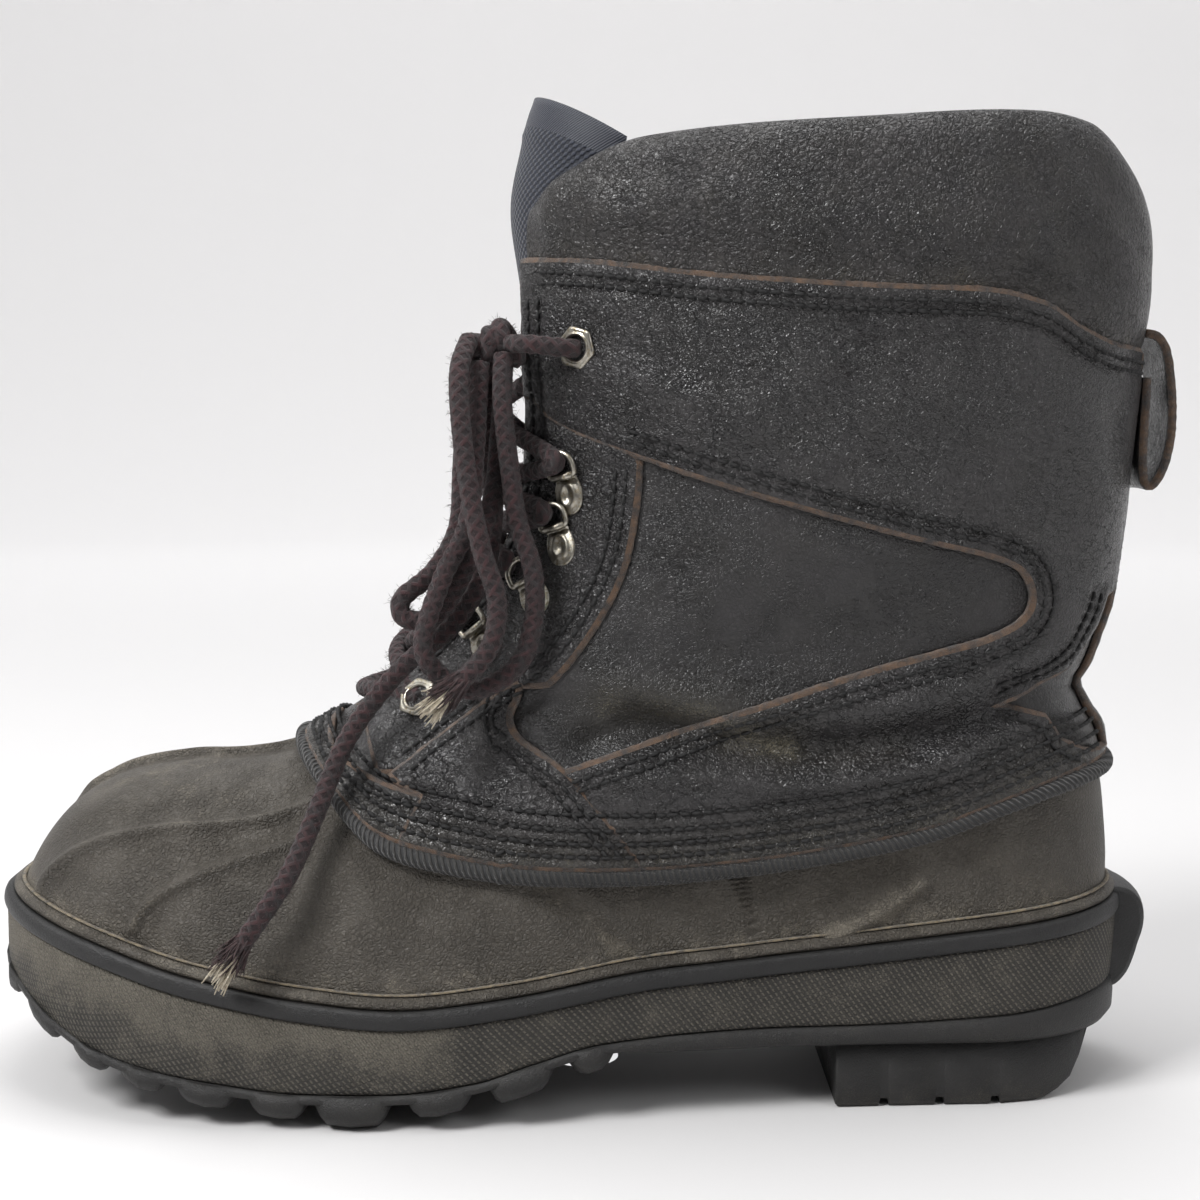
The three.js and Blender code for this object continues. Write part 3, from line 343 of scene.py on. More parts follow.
ROPE_LINE = Curve([
    (-84, 101), (-76, 92.5), (-67, 85), (-58, 77), (-50, 71.5), (-40, 68.5), (-13, 65),
    (18, 64), (44, 65.5), (73, 69.5), (94, 74), (112, 80.5), (127, 85), (141, 87.5),
    (160, 89),
])
COLLAR_LOW = Curve([
    (-30, 225), (-3, 223.5), (38, 218), (77, 215.3), (104, 214.5), (119, 211.5), (131, 205),
    (142, 201.5), (170, 200),
])
COLLAR_TOP = Curve([
    (-30, 232), (-12, 238), (-3, 246), (18, 254.5), (75, 258), (120, 260.5), (133, 259),
    (146, 250), (157, 236), (170, 225),
])
THROAT_HALF = Curve([
    (101, 4), (103, 8), (108, 11), (118, 13.5), (140, 16), (200, 19), (280, 20),
])
THROAT_FOOT = 101.0


class Last:
    """The boot's form: the outside of the rubber shell and of the shaft above it.

    A place on it is an angle, from the heel (0) over the inner side to the toe (pi) and
    back over the outer side, and a level, from the sole (0) to the top (1).
    """

    SHIN_X = -17.5
    SHIN_FOOT = 170.0
    OPEN_HEIGHT = 400.0  # stands for no top over the open shaft
    FOLLOW_END = 0.3  # level up to which rings follow the sole line
    TOE_START = -95.0  # where the plan starts to round off
    TOE_POWER = 2.25
    FOOT_TO_SHAFT = (55, 125)  # heights between which the plan turns into the shaft's
    MIDDLE_FADE = (50, 130)
    DOME_FOOT = 16.0  # height over the sole line
    DOME_POWER = 2.5
    DOME_SOFTER = 0.5  # less power over the instep, between the two places
    DOME_PLACES = (-125, -55)
    SHIN_DEPTH = (62, 18)  # at the foot, and more further up
    SHIN_HEIGHTS = (100, 165)
    CLOSING = (95, 150)  # heights between which the dome turns into the shin
    HEEL_DEPTH = (42, 38)
    HEEL_HEIGHTS = (60, 170)
    SHIN_POWER = 2.0
    HEEL_POWER = 2.2
    LEVEL_STEP = 0.004
    ANGLE_STEP = 0.02
    LEVEL_HALVINGS = 22
    SIDE_HALVINGS = 26
    WIDTH_HALVINGS = 20

    def __init__(self) -> None:
        """Measures the front line."""
        self.front = catmull(np.array(FRONT, float), 60)
        self.run = distances(self.front)
        self.run /= self.run[-1]
        tip = int(np.argmin(self.front[:, 0]))
        self.tip_x, self.tip_z = self.front[tip]
        top = self.front[tip:]
        self.top = top[(top[:, 0] < self.SHIN_X) & (top[:, 1] < self.SHIN_FOOT)]

    def front_x(self, z: np.ndarray) -> np.ndarray:
        """Where the front line is at a height."""
        return np.interp(z, self.front[:, 1], self.front[:, 0])

    def top_height(self, x: np.ndarray) -> np.ndarray:
        """Height of the outline over the toes and instep, open behind the shin."""
        closed = np.interp(x, self.top[:, 0], self.top[:, 1])
        open_share = smooth(self.SHIN_X - 0.5, 10, x)
        behind = lerp(self.SHIN_FOOT, self.OPEN_HEIGHT, open_share)
        return np.where(x <= self.SHIN_X - 0.5, closed, behind)

    def half(self, x: np.ndarray, z: np.ndarray, reach: np.ndarray) -> np.ndarray:
        """Half the form's width at a point of a ring that reaches forward to a place."""
        tip = np.minimum(np.where(z < self.tip_z, self.front_x(z), self.tip_x), reach)
        toe = (self.TOE_START - x) / (self.TOE_START - tip)
        sole = PLAN_HALF(x) * super_circle(toe, self.TOE_POWER)
        width = lerp(sole, SHAFT_HALF(z), smooth(*self.FOOT_TO_SHAFT, z))
        foot = SOLE_LINE(x) + self.DOME_FOOT
        share = (z - foot) / (self.top_height(x) - foot)
        dome = super_circle(share, self.DOME_POWER - self.DOME_SOFTER * smooth(*self.DOME_PLACES, x))
        depth = self.SHIN_DEPTH[0] + self.SHIN_DEPTH[1] * smooth(*self.SHIN_HEIGHTS, z)
        shin = super_circle((self.front_x(z) + depth - x) / depth, self.SHIN_POWER)
        closing = lerp(dome, shin, smooth(*self.CLOSING, z))
        heel_depth = self.HEEL_DEPTH[0] + self.HEEL_DEPTH[1] * smooth(*self.HEEL_HEIGHTS, z)
        heel = super_circle((x - BACK(z) + heel_depth) / heel_depth, self.HEEL_POWER)
        return width * closing * heel

    def middle(self, x: np.ndarray, z: np.ndarray) -> np.ndarray:
        """Where the form's middle line lies across the boot."""
        return PLAN_MIDDLE(x) * (1 - smooth(*self.MIDDLE_FADE, z))

    def ends(self, level: np.ndarray) -> tuple[np.ndarray, np.ndarray, np.ndarray, np.ndarray]:
        """The place and height of a ring's front end, then of its back end."""
        back_z = RING_BACK(level)
        front_x = np.interp(level, self.run, self.front[:, 0])
        front_z = np.interp(level, self.run, self.front[:, 1])
        return front_x, front_z, BACK(back_z), back_z

    def ring(self, angle: np.ndarray, level: np.ndarray) -> np.ndarray:
        """Points of the form at angles and levels."""
        angle, level = np.broadcast_arrays(np.asarray(angle, float), np.asarray(level, float))
        held = np.clip(level, 0, 1)
        front_x, front_z, back_x, back_z = self.ends(held)
        share = (1 + np.cos(angle)) / 2
        x = lerp(front_x, back_x, share)
        sag = SOLE_LINE(x) - lerp(SOLE_LINE(front_x), SOLE_LINE(back_x), share)
        z = lerp(front_z, back_z, share) + sag * (1 - smooth(0, self.FOLLOW_END, held))
        sine = np.sin(angle)
        sign = np.where(np.abs(sine) < 1e-6, 0, np.sign(sine))
        return np.stack([x, self.middle(x, z) + sign * self.half(x, z, front_x), z], -1)

    def normal(self, angle: np.ndarray, level: np.ndarray) -> np.ndarray:
        """Outward normals of the form."""
        level = np.asarray(level, float)
        angle = np.asarray(angle, float)
        high = self.ring(angle, np.minimum(level + self.LEVEL_STEP, 1))
        up = high - self.ring(angle, np.maximum(level - self.LEVEL_STEP, 0))
        along = self.ring(angle + self.ANGLE_STEP, level) - self.ring(angle - self.ANGLE_STEP, level)
        cross = np.cross(along, up)
        return cross / (np.linalg.norm(cross, axis=-1, keepdims=True) + 1e-12)

    def level_at(self, angle: np.ndarray, line: Line) -> np.ndarray:
        """The level at which each ring crosses a line of the side view."""
        low = np.zeros(np.shape(angle))
        high = np.ones(np.shape(angle))
        for _ in range(self.LEVEL_HALVINGS):
            middle = (low + high) / 2
            point = self.ring(angle, middle)
            under = point[..., 2] < line(point[..., 0])
            low = np.where(under, middle, low)
            high = np.where(under, high, middle)
        return (low + high) / 2

    def on_side(self, x: np.ndarray, z: np.ndarray, side: Side) -> tuple[np.ndarray, np.ndarray]:
        """The angle and level of a point of the side view.

        Args:
            x: places along the boot.
            z: heights.
            side: the side of the boot that is meant.

        Returns:
            Angles and levels.
        """
        low = np.zeros(np.shape(x))
        high = np.ones(np.shape(x))
        for _ in range(self.SIDE_HALVINGS):
            level = (low + high) / 2
            front_x, front_z, back_x, back_z = self.ends(level)
            share = np.clip((x - front_x) / (back_x - front_x), 0, 1)
            at = lerp(front_x, back_x, share)
            sag = SOLE_LINE(at) - lerp(SOLE_LINE(front_x), SOLE_LINE(back_x), share)
            height = lerp(front_z, back_z, share)
            height = height + sag * (1 - smooth(0, self.FOLLOW_END, level))
            under = height < z
            low = np.where(under, level, low)
            high = np.where(under, high, level)
        angle = np.arccos(np.clip(2 * share - 1, -1, 1))
        if side is Side.OUTER:
            angle = 2 * math.pi - angle
        return angle, (low + high) / 2

    def at_width(self, z: np.ndarray, half: np.ndarray, side: Side, back: bool = False) -> np.ndarray:
        """The angle at which the form has a half width at a height.

        Args:
            z: heights.
            half: half widths across the boot there.
            side: the side of the boot.
            back: whether the heel's side is meant and not the toe's.

        Returns:
            Angles.
        """
        low = np.full(np.shape(z), 0.0 if back else math.pi)
        high = np.full(np.shape(z), math.pi / 2)
        for _ in range(self.WIDTH_HALVINGS):
            middle = (low + high) / 2
            level = self.level_at(middle, constant(z))
            wide = self.ring(middle, level)[..., 1] > half
            low = np.where(wide, low, middle)
            high = np.where(wide, middle, high)
        angle = (low + high) / 2
        return 2 * math.pi - angle if side is Side.OUTER else angle


@dataclass(frozen=True)
class Fold:
    """A soft trough or ridge placed along a line of the side view."""

    line: tuple[tuple[float, float], ...]
    height: float
    width: float
    side: Side | None = None


class Relief:
    """Folds laid over the form."""

    def __init__(self, folds: Sequence[Fold]) -> None:
        """Keeps the folds with their lines smoothed."""
        self.folds = [(fold, catmull(np.array(fold.line, float), 6)) for fold in folds]

    def height(self, points: np.ndarray) -> np.ndarray:
        """How far each point of the form is pushed out."""
        total = np.zeros(len(points))
        side_view = points[:, [0, 2]]
        for fold, line in self.folds:
            low, high = line.min(0) - 3 * fold.width, line.max(0) + 3 * fold.width
            near = np.all((side_view > low) & (side_view < high), axis=1)
            if fold.side is not None:
                near &= points[:, 1] * fold.side.value > 0
            if not near.any():
                continue
            total[near] += swell(to_polyline(side_view[near], line), fold.height, fold.width)
        return total


LAST = Last()
FLAT = Relief([])


def lifted(
    angle: np.ndarray, level: np.ndarray, lift: np.ndarray | float, relief: Relief = FLAT
) -> np.ndarray:
    """Points at a distance outside the form.

    Args:
        angle: angles on the last.
        level: levels on the last.
        lift: distance along the normal.
        relief: folds that push the points further.

    Returns:
        The points, one per row.
    """
    base = LAST.ring(angle, level)
    shape = base.shape
    push = relief.height(base.reshape(-1, 3)).reshape(shape[:-1])
    return base + LAST.normal(angle, level) * (push + lift)[..., None]


# Meshes


@dataclass
class MeshData:
    """Corners and faces of a mesh in the making, in mm."""

    points: list[np.ndarray] = field(default_factory=list)
    faces: list[np.ndarray] = field(default_factory=list)
    slots: list[np.ndarray] = field(default_factory=list)
    uv: list[np.ndarray] = field(default_factory=list)
    count: int = 0

    def add(
        self, points: np.ndarray, *faces: np.ndarray, slot: int | np.ndarray = 0,
        uv: np.ndarray | None = None,
    ) -> int:
        """Adds a piece of mesh.

        Args:
            points: its corners.
            faces: blocks of faces with the same number of corners each.
            slot: the material slot of all of its faces, or of each in the first block.
            uv: a flat coordinate for each corner, in mm.

        Returns:
            The number that its first corner got.
        """
        start = self.count
        points = np.asarray(points, float).reshape(-1, 3)
        self.points.append(points)
        self.uv.append(np.zeros((len(points), 2)) if uv is None else uv.reshape(-1, 2))
        for block in faces:
            block = np.atleast_2d(np.asarray(block, int))
            self.faces.append(block + start)
            own = slot if np.shape(slot) == (len(block),) else np.max(slot)
            self.slots.append(np.broadcast_to(own, len(block)))
        self.count += len(points)
        return start

    def loft(
        self, grid: np.ndarray, closed: bool = False, capped: bool = True, slot: int | np.ndarray = 0,
        uv: np.ndarray | None = None,
    ) -> None:
        """Adds the skin over a row of closed rings.

        Args:
            grid: the corners, by ring and place on it.
            closed: whether the last ring joins the first.
            capped: whether the end rings are filled.
            slot: the material slot.
            uv: a flat coordinate for each corner, in mm.
        """
        rows, columns = grid.shape[:2]
        blocks = [grid_faces(rows, columns, closed, True)]
        if capped and not closed:
            blocks.append(np.arange(columns)[::-1])
            blocks.append(np.arange(columns) + (rows - 1) * columns)
        self.add(grid, *blocks, slot=slot, uv=uv)

    def build(self, name: str, materials: Sequence[bpy.types.Material]) -> bpy.types.Object:
        """Makes the object, smooth shaded, with outward faces.

        Args:
            name: the piece's name.
            materials: one for each slot.

        Returns:
            The new object, riding on the boot.
        """
        faces = [face for block in self.faces for face in block.tolist()]
        mesh = bpy.data.meshes.new(name)
        mesh.from_pydata(metres(np.vstack(self.points)).tolist(), [], faces)
        for material in materials:
            mesh.materials.append(material)
        mesh.polygons.foreach_set("material_index", np.concatenate(self.slots))
        mesh.polygons.foreach_set("use_smooth", [True] * len(mesh.polygons))
        layer = mesh.uv_layers.new(name="UVMap")
        corners = np.zeros(len(mesh.loops), int)
        mesh.loops.foreach_get("vertex_index", corners)
        layer.data.foreach_set("uv", (np.vstack(self.uv) * UV_SCALE)[corners].ravel())
        net = bmesh.new()
        net.from_mesh(mesh)
        bmesh.ops.remove_doubles(net, verts=net.verts, dist=MERGE * MM)
        bmesh.ops.recalc_face_normals(net, faces=net.faces)
        net.to_mesh(mesh)
        net.free()
        piece = bpy.data.objects.new(name, mesh)
        bpy.context.scene.collection.objects.link(piece)
        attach(piece, BODY)
        LOG.info("%s: %d faces", name, len(mesh.polygons))
        return piece


def grid_faces(rows: int, columns: int, wrap_rows: bool, wrap_columns: bool) -> np.ndarray:
    """Faces of a grid of corners stored row by row."""
    i = np.arange(rows if wrap_rows else rows - 1)[:, None]
    j = np.arange(columns if wrap_columns else columns - 1)[None, :]
    a, b, k = i * columns, ((i + 1) % rows) * columns, (j + 1) % columns
    return np.stack([a + j, a + k, b + k, b + j], -1).reshape(-1, 4)


def turned(turn: np.ndarray, rows: Sequence[tuple[np.ndarray | float, float]]) -> np.ndarray:
    """Rings of a turned form, from a radius and a height for each."""
    return np.stack([
        np.column_stack([r * np.cos(turn), r * np.sin(turn), np.full(len(turn), h)]) for r, h in rows
    ])


def tubes(
    data: MeshData, paths: np.ndarray, radius: np.ndarray | float, sides: int, slot: int = 0,
    bumps: Callable[[np.ndarray, np.ndarray], np.ndarray] | None = None,
) -> None:
    """Adds closed tubes, all with the same number of rings.

    Args:
        data: the mesh that they join.
        paths: their centrelines, by tube and ring.
        radius: their radius, or one for each ring.
        sides: how many sides they have.
        slot: their material slot.
        bumps: height of their surface by turn and distance along them.
    """
    paths = np.asarray(paths, float)
    if paths.ndim == 2:
        paths = paths[None]
    count, rings = paths.shape[:2]
    run = np.gradient(paths, axis=1)
    run /= np.linalg.norm(run, axis=2, keepdims=True) + 1e-12
    across = np.zeros_like(paths)
    before = np.cross(run[:, 0], (0.3, 0.5, 0.81))
    for i in range(rings):
        before = before - run[:, i] * (before * run[:, i]).sum(1, keepdims=True)
        before /= np.linalg.norm(before, axis=1, keepdims=True) + 1e-12
        across[:, i] = before
    other = np.cross(run, across)
    steps = np.linalg.norm(np.diff(paths, axis=1), axis=2)
    along = np.concatenate([np.zeros((count, 1)), np.cumsum(steps, 1)], 1)[..., None]
    turn = around(sides)
    size = np.broadcast_to(np.asarray(radius, float), (count, rings))[..., None] + 0 * turn
    if bumps is not None:
        size = size + bumps(turn, along)
    points = paths[:, :, None] + across[:, :, None] * (size * np.cos(turn))[..., None]
    points = points + other[:, :, None] * (size * np.sin(turn))[..., None]
    uv = np.stack(np.broadcast_arrays(along, turn * TUBE_UV), -1)
    shift = (np.arange(count) * rings * sides)[:, None, None]
    skin = (grid_faces(rings, sides, False, True) + shift).reshape(-1, 4)
    ends = np.stack([np.arange(sides)[::-1], np.arange(sides) + (rings - 1) * sides])
    data.add(points, skin, (ends + shift).reshape(-1, sides), slot=slot, uv=uv)


# Shader nodes


class Graph:
    """Adds nodes to a tree and links them."""

    def __init__(self, tree: bpy.types.NodeTree) -> None:
        """Keeps the tree."""
        self.tree = tree

    def node(self, kind: str, inputs: dict | None = None, **settings: object) -> bpy.types.Node:
        """Adds a node.

        Args:
            kind: the node's type without its common beginning.
            inputs: a value or an output socket for each named or numbered input.
            settings: the node's properties.

        Returns:
            The node.
        """
        made = self.tree.nodes.new("ShaderNode" + kind)
        for key, value in settings.items():
            setattr(made, key, value)
        for key, value in (inputs or {}).items():
            if isinstance(value, bpy.types.NodeSocket):
                self.link(value, made, key)
            else:
                made.inputs[key].default_value = value
        return made

    def math(self, operation: str, a: object, b: object = 0.0) -> bpy.types.NodeSocket:
        """The result of a named sum of numbers."""
        return self.node("Math", {0: a, 1: b}, operation=operation).outputs[0]

    def mix(self, share: object, a: object, b: object) -> bpy.types.NodeSocket:
        """A colour between two."""
        made = self.node("Mix", {0: share, 6: a, 7: b}, data_type="RGBA")
        return made.outputs[2]

    def times(self, a: object, b: object) -> bpy.types.NodeSocket:
        """The product of two values."""
        return self.math("MULTIPLY", a, b)

    def plus(self, a: object, b: object) -> bpy.types.NodeSocket:
        """The sum of two values."""
        return self.math("ADD", a, b)

    def vector(self, operation: str, a: object, b: object) -> bpy.types.NodeSocket:
        """The result of a sum of vectors, where a scale takes a number as its second."""
        key = "Scale" if operation == "SCALE" else 1
        return self.node("VectorMath", {0: a, key: b}, operation=operation).outputs["Vector"]

    def link(self, value: bpy.types.NodeSocket, node: bpy.types.Node, name: int | str) -> None:
        """Joins a value to a node's input."""
        self.tree.links.new(value, node.inputs[name])

    def flat(self) -> tuple[bpy.types.NodeSocket, bpy.types.NodeSocket]:
        """The mesh's own flat coordinate in mm, along it and across."""
        parts = self.node("SeparateXYZ", {0: self.node("UVMap", uv_map="UVMap").outputs["UV"]})
        return self.times(parts.outputs["X"], 1 / UV_SCALE), self.times(parts.outputs["Y"], 1 / UV_SCALE)

    def span(
        self, value: object, start: float, end: float, low: float = 0.0, high: float = 1.0
    ) -> bpy.types.NodeSocket:
        """A value moved softly from one span to another."""
        inputs = {"Value": value, "From Min": start, "From Max": end, "To Min": low, "To Max": high}
        return self.node("MapRange", inputs, interpolation_type="SMOOTHSTEP").outputs[0]

    def noise(
        self, where: object, scale: float, detail: float = 3.0, rough: float = 0.55
    ) -> bpy.types.NodeSocket:
        """Soft noise with a number of patches per mm."""
        inputs = {"Vector": where, "Scale": scale, "Detail": detail, "Roughness": rough}
        return self.node("TexNoise", inputs).outputs["Fac"]


def colour(red: float, green: float, blue: float) -> tuple[float, float, float, float]:
    """A linear colour from the screen values 0 to 255."""
    screen = (red, green, blue)
    return tuple(((v / 255 + 0.055) / 1.055) ** 2.4 if v > 10 else v / 3294 for v in screen) + (1.0,)


def darker(base: Sequence[float], share: float) -> tuple[float, float, float, float]:
    """A share of a colour."""
    return tuple(share * v for v in base[:3]) + (1.0,)


class Effects:
    """Shader node groups that several finishes share, each made once."""

    def __init__(self) -> None:
        """Makes the groups."""
        self.place = self._place()
        self.grain = self._grain()
        self.cracks = self._cracks()
        self.dust = self._dust()

    def _group(
        self, name: str, inputs: dict[str, float], outputs: Sequence[str]
    ) -> tuple[bpy.types.NodeTree, Graph, dict, bpy.types.Node]:
        """An empty group with its sockets.

        Args:
            name: the group's name.
            inputs: its number inputs, with the value each starts from.
            outputs: its number outputs.

        Returns:
            The group, its graph, its inputs by name and its output node.
        """
        tree = bpy.data.node_groups.new(name, "ShaderNodeTree")
        for key, value in inputs.items():
            socket = tree.interface.new_socket(key, in_out="INPUT", socket_type="NodeSocketFloat")
            socket.default_value = value
        for key in outputs:
            kind = "NodeSocketVector" if key == "Place" else "NodeSocketFloat"
            tree.interface.new_socket(key, in_out="OUTPUT", socket_type=kind)
        source = tree.nodes.new("NodeGroupInput")
        sink = tree.nodes.new("NodeGroupOutput")
        return tree, Graph(tree), {key: source.outputs[key] for key in inputs}, sink

    def _place(self) -> bpy.types.NodeTree:
        """Gives the place on the boot in mm."""
        tree, graph, _, sink = self._group("place_mm", {}, ["Place"])
        where = graph.node("TexCoord").outputs["Object"]
        graph.link(graph.vector("SCALE", where, 1 / MM), sink, "Place")
        return tree

    def where(self, graph: Graph) -> bpy.types.NodeSocket:
        """The place in mm, inside a group or material."""
        return graph.node("Group", node_tree=self.place).outputs[0]

    def dusting(self, graph: Graph, amount: float) -> bpy.types.NodeSocket:
        """The mask of dust, inside a material, with what the mesh's corners add."""
        painted = graph.node("Attribute", attribute_name="dust").outputs["Fac"]
        return graph.node("Group", {"Amount": amount, "Painted": painted}, node_tree=self.dust).outputs[0]

    def _grain(self) -> bpy.types.NodeTree:
        """Pebbles with creases between them, and slow swells."""
        tree, graph, given, sink = self._group(
            "leather_grain", {"Pebble": 1.4, "Swell": 0.12}, ["Height", "Crease", "Patch"]
        )
        where = self.where(graph)
        bend = graph.node("TexNoise", {"Vector": where, "Scale": 0.5, "Detail": 2.0})
        moved = graph.vector("ADD", where, graph.vector("SCALE", bend.outputs["Color"], 1.4))
        scale = graph.math("DIVIDE", 1.0, given["Pebble"])
        cells = graph.node(
            "TexVoronoi", {"Vector": moved, "Scale": scale}, feature="DISTANCE_TO_EDGE"
        ).outputs["Distance"]
        fine = graph.node(
            "TexVoronoi", {"Vector": moved, "Scale": graph.times(scale, 2.3)},
            feature="DISTANCE_TO_EDGE",
        ).outputs["Distance"]
        crease = graph.span(cells, 0.0, 0.16, 1.0, 0.0)
        swell = graph.noise(where, 0.16, 3.0, 0.6)
        swell = graph.times(swell, given["Swell"])
        pebble = graph.plus(graph.span(cells, 0.0, 0.3), graph.span(fine, 0.0, 0.3, 0.0, 0.5))
        raised = graph.times(pebble, graph.span(graph.noise(where, 0.09, 3.0), 0.3, 0.65, 0.06, 0.15))
        graph.link(graph.plus(raised, swell), sink, "Height")
        graph.link(crease, sink, "Crease")
        graph.link(graph.noise(where, 0.05, 5.0, 0.6), sink, "Patch")
        return tree

    def _cracks(self) -> bpy.types.NodeTree:
        """Long fine cracks where leather has been bent and dried."""
        tree, graph, given, sink = self._group("leather_cracks", {"Amount": 0.5}, ["Mask"])
        where = self.where(graph)
        bend = graph.node("TexNoise", {"Vector": where, "Scale": 0.25, "Detail": 4.0})
        moved = graph.vector("ADD", where, graph.vector("SCALE", bend.outputs["Color"], 7.0))
        tall = graph.vector("MULTIPLY", moved, (0.22, 0.22, 0.5))
        edge = graph.node("TexVoronoi", {"Vector": tall, "Scale": 1.0}, feature="DISTANCE_TO_EDGE")
        line = graph.span(edge.outputs["Distance"], 0.0, 0.045, 1.0, 0.0)
        patch = graph.noise(where, 0.035, 3.0)
        cover = graph.plus(patch, given["Amount"])
        shown = graph.span(cover, 0.95, 1.15)
        graph.link(graph.times(line, shown), sink, "Mask")
        return tree

    def _dust(self) -> bpy.types.NodeTree:
        """Dust that lies in specks and patches, and thick where a piece says so; on the shell the piece's
        amount also holds a painted highlight along the toe ridges.
        """
        tree, graph, given, sink = self._group("dust", {"Amount": 0.3, "Painted": 0.0}, ["Mask"])
        where = self.where(graph)
        specks = graph.noise(where, 3.4, 5.0, 0.85)
        patches = graph.noise(where, 0.11, 6.0, 0.7)
        near = graph.times(graph.span(patches, 0.25, 0.85), given["Amount"])
        near = graph.plus(near, given["Painted"])
        edge = graph.math("SUBTRACT", 0.78, graph.times(near, 0.42))
        over = graph.math("SUBTRACT", specks, edge)
        mask = graph.span(over, 0.0, 0.1)
        veil = graph.times(near, 0.16)
        total = graph.math("MINIMUM", graph.plus(mask, veil), 1.0)
        graph.link(total, sink, "Mask")
        return tree


@dataclass(frozen=True)
class Finish:
    """What every finish has: a name, a base colour and how rough it is."""

    name: str
    base: tuple[float, float, float, float]
    rough: float = 0.6

    def start(self) -> tuple[bpy.types.Material, Graph, bpy.types.Node]:
        """An empty material with its shader."""
        material = bpy.data.materials.new(self.name)
        material.use_nodes = True
        tree = material.node_tree
        shader = next(n for n in tree.nodes if n.type == "BSDF_PRINCIPLED")
        shader.inputs["Base Color"].default_value = self.base
        shader.inputs["Roughness"].default_value = self.rough
        return material, Graph(tree), shader

    @staticmethod
    def bump(graph: Graph, shader: bpy.types.Node, height: object, distance: float) -> None:
        """Raises the surface by a height in mm times a distance."""
        made = graph.node("Bump", {"Height": height, "Strength": 1.0, "Distance": distance * MM})
        graph.link(made.outputs["Normal"], shader, "Normal")


@dataclass(frozen=True)
class LeatherFinish(Finish):
    """Grained leather with worn patches, cracks and dust, and painted shade in the grain's creases."""

    worn: tuple[float, float, float, float] = colour(92, 88, 90)
    pebble: float = 1.3
    depth: float = 1.0
    cracks: float = 0.5
    dust: float = 0.25
    gloss: float = 0.5
    swell: float = 0.7

    def build(self, effects: Effects) -> bpy.types.Material:
        """Makes the material."""
        material, graph, shader = self.start()
        grain = graph.node("Group", {"Pebble": self.pebble, "Swell": self.swell}, node_tree=effects.grain)
        cracks = graph.node("Group", {"Amount": self.cracks}, node_tree=effects.cracks).outputs[0]
        dust = effects.dusting(graph, self.dust)
        patch = graph.span(grain.outputs["Patch"], 0.35, 0.7)
        tint = graph.mix(graph.times(patch, 0.16), self.base, self.worn)
        dark = darker(self.base, 0.35)
        # Painted shade: the grain's creases between the pebbles are darkened in the colour.
        tint = graph.mix(graph.times(grain.outputs["Crease"], 0.6), tint, dark)
        tint = graph.mix(graph.times(cracks, 0.75), tint, dark)
        tint = graph.mix(graph.times(dust, 0.62), tint, colour(132, 125, 104))
        graph.link(tint, shader, "Base Color")
        rough = graph.plus(graph.times(patch, 0.16), self.rough - 0.08)
        rough = graph.plus(rough, graph.times(dust, 0.4))
        rough = graph.plus(rough, graph.times(cracks, 0.3))
        graph.link(rough, shader, "Roughness")
        height = graph.math("SUBTRACT", grain.outputs["Height"], graph.times(cracks, 0.4))
        self.bump(graph, shader, height, self.depth)
        shader.inputs["Specular IOR Level"].default_value = self.gloss
        return material


@dataclass(frozen=True)
class RubberFinish(Finish):
    """Dusty rubber with a fine moulded grain, with painted shade in the grain's creases and, where it is
    ribbed, a painted highlight on the ribs.
    """

    dust_and_rib_highlight: tuple[float, float, float, float] = colour(128, 118, 102)
    dust: float = 0.4
    grain: float = 0.8
    depth: float = 0.5
    ribs: float = 0.0
    swell: float = 0.3

    def build(self, effects: Effects) -> bpy.types.Material:
        """Makes the material."""
        material, graph, shader = self.start()
        grain = graph.node("Group", {"Pebble": self.grain, "Swell": self.swell}, node_tree=effects.grain)
        dust = effects.dusting(graph, self.dust)
        patch = graph.span(grain.outputs["Patch"], 0.3, 0.7)
        dark = darker(self.base, 0.55)
        tint = graph.mix(graph.times(patch, 0.28), self.base, dark)
        height = grain.outputs["Height"]
        if self.ribs:
            raised = self._ribs(graph)
            # Painted highlight: the raised ribs are painted paler, in the same colour as the dust.
            tint = graph.mix(graph.times(raised, 0.5), tint, self.dust_and_rib_highlight)
            height = graph.plus(height, graph.times(raised, 0.8))
        tint = graph.mix(graph.times(dust, 0.6), tint, self.dust_and_rib_highlight)
        # Painted shade: the grain's creases are darkened in the colour.
        tint = graph.mix(graph.times(grain.outputs["Crease"], 0.4), tint, dark)
        graph.link(tint, shader, "Base Color")
        rough = graph.plus(self.rough, graph.times(dust, 0.25))
        graph.link(rough, shader, "Roughness")
        self.bump(graph, shader, height, self.depth)
        return material

    def _ribs(self, graph: Graph) -> bpy.types.NodeSocket:
        """Short slanted ribs in rows, from the band's flat coordinate."""
        along, up = graph.flat()
        sloped = graph.plus(along, graph.times(up, 0.9))
        wave = graph.math("SINE", graph.times(sloped, 2 * math.pi / self.ribs))
        cross = graph.math("SUBTRACT", along, graph.times(up, 2.6))
        cuts = graph.math("SINE", graph.times(cross, 2 * math.pi / (2.4 * self.ribs)))
        both = graph.times(graph.span(wave, -0.2, 0.8), graph.span(cuts, -0.9, -0.3))
        return both


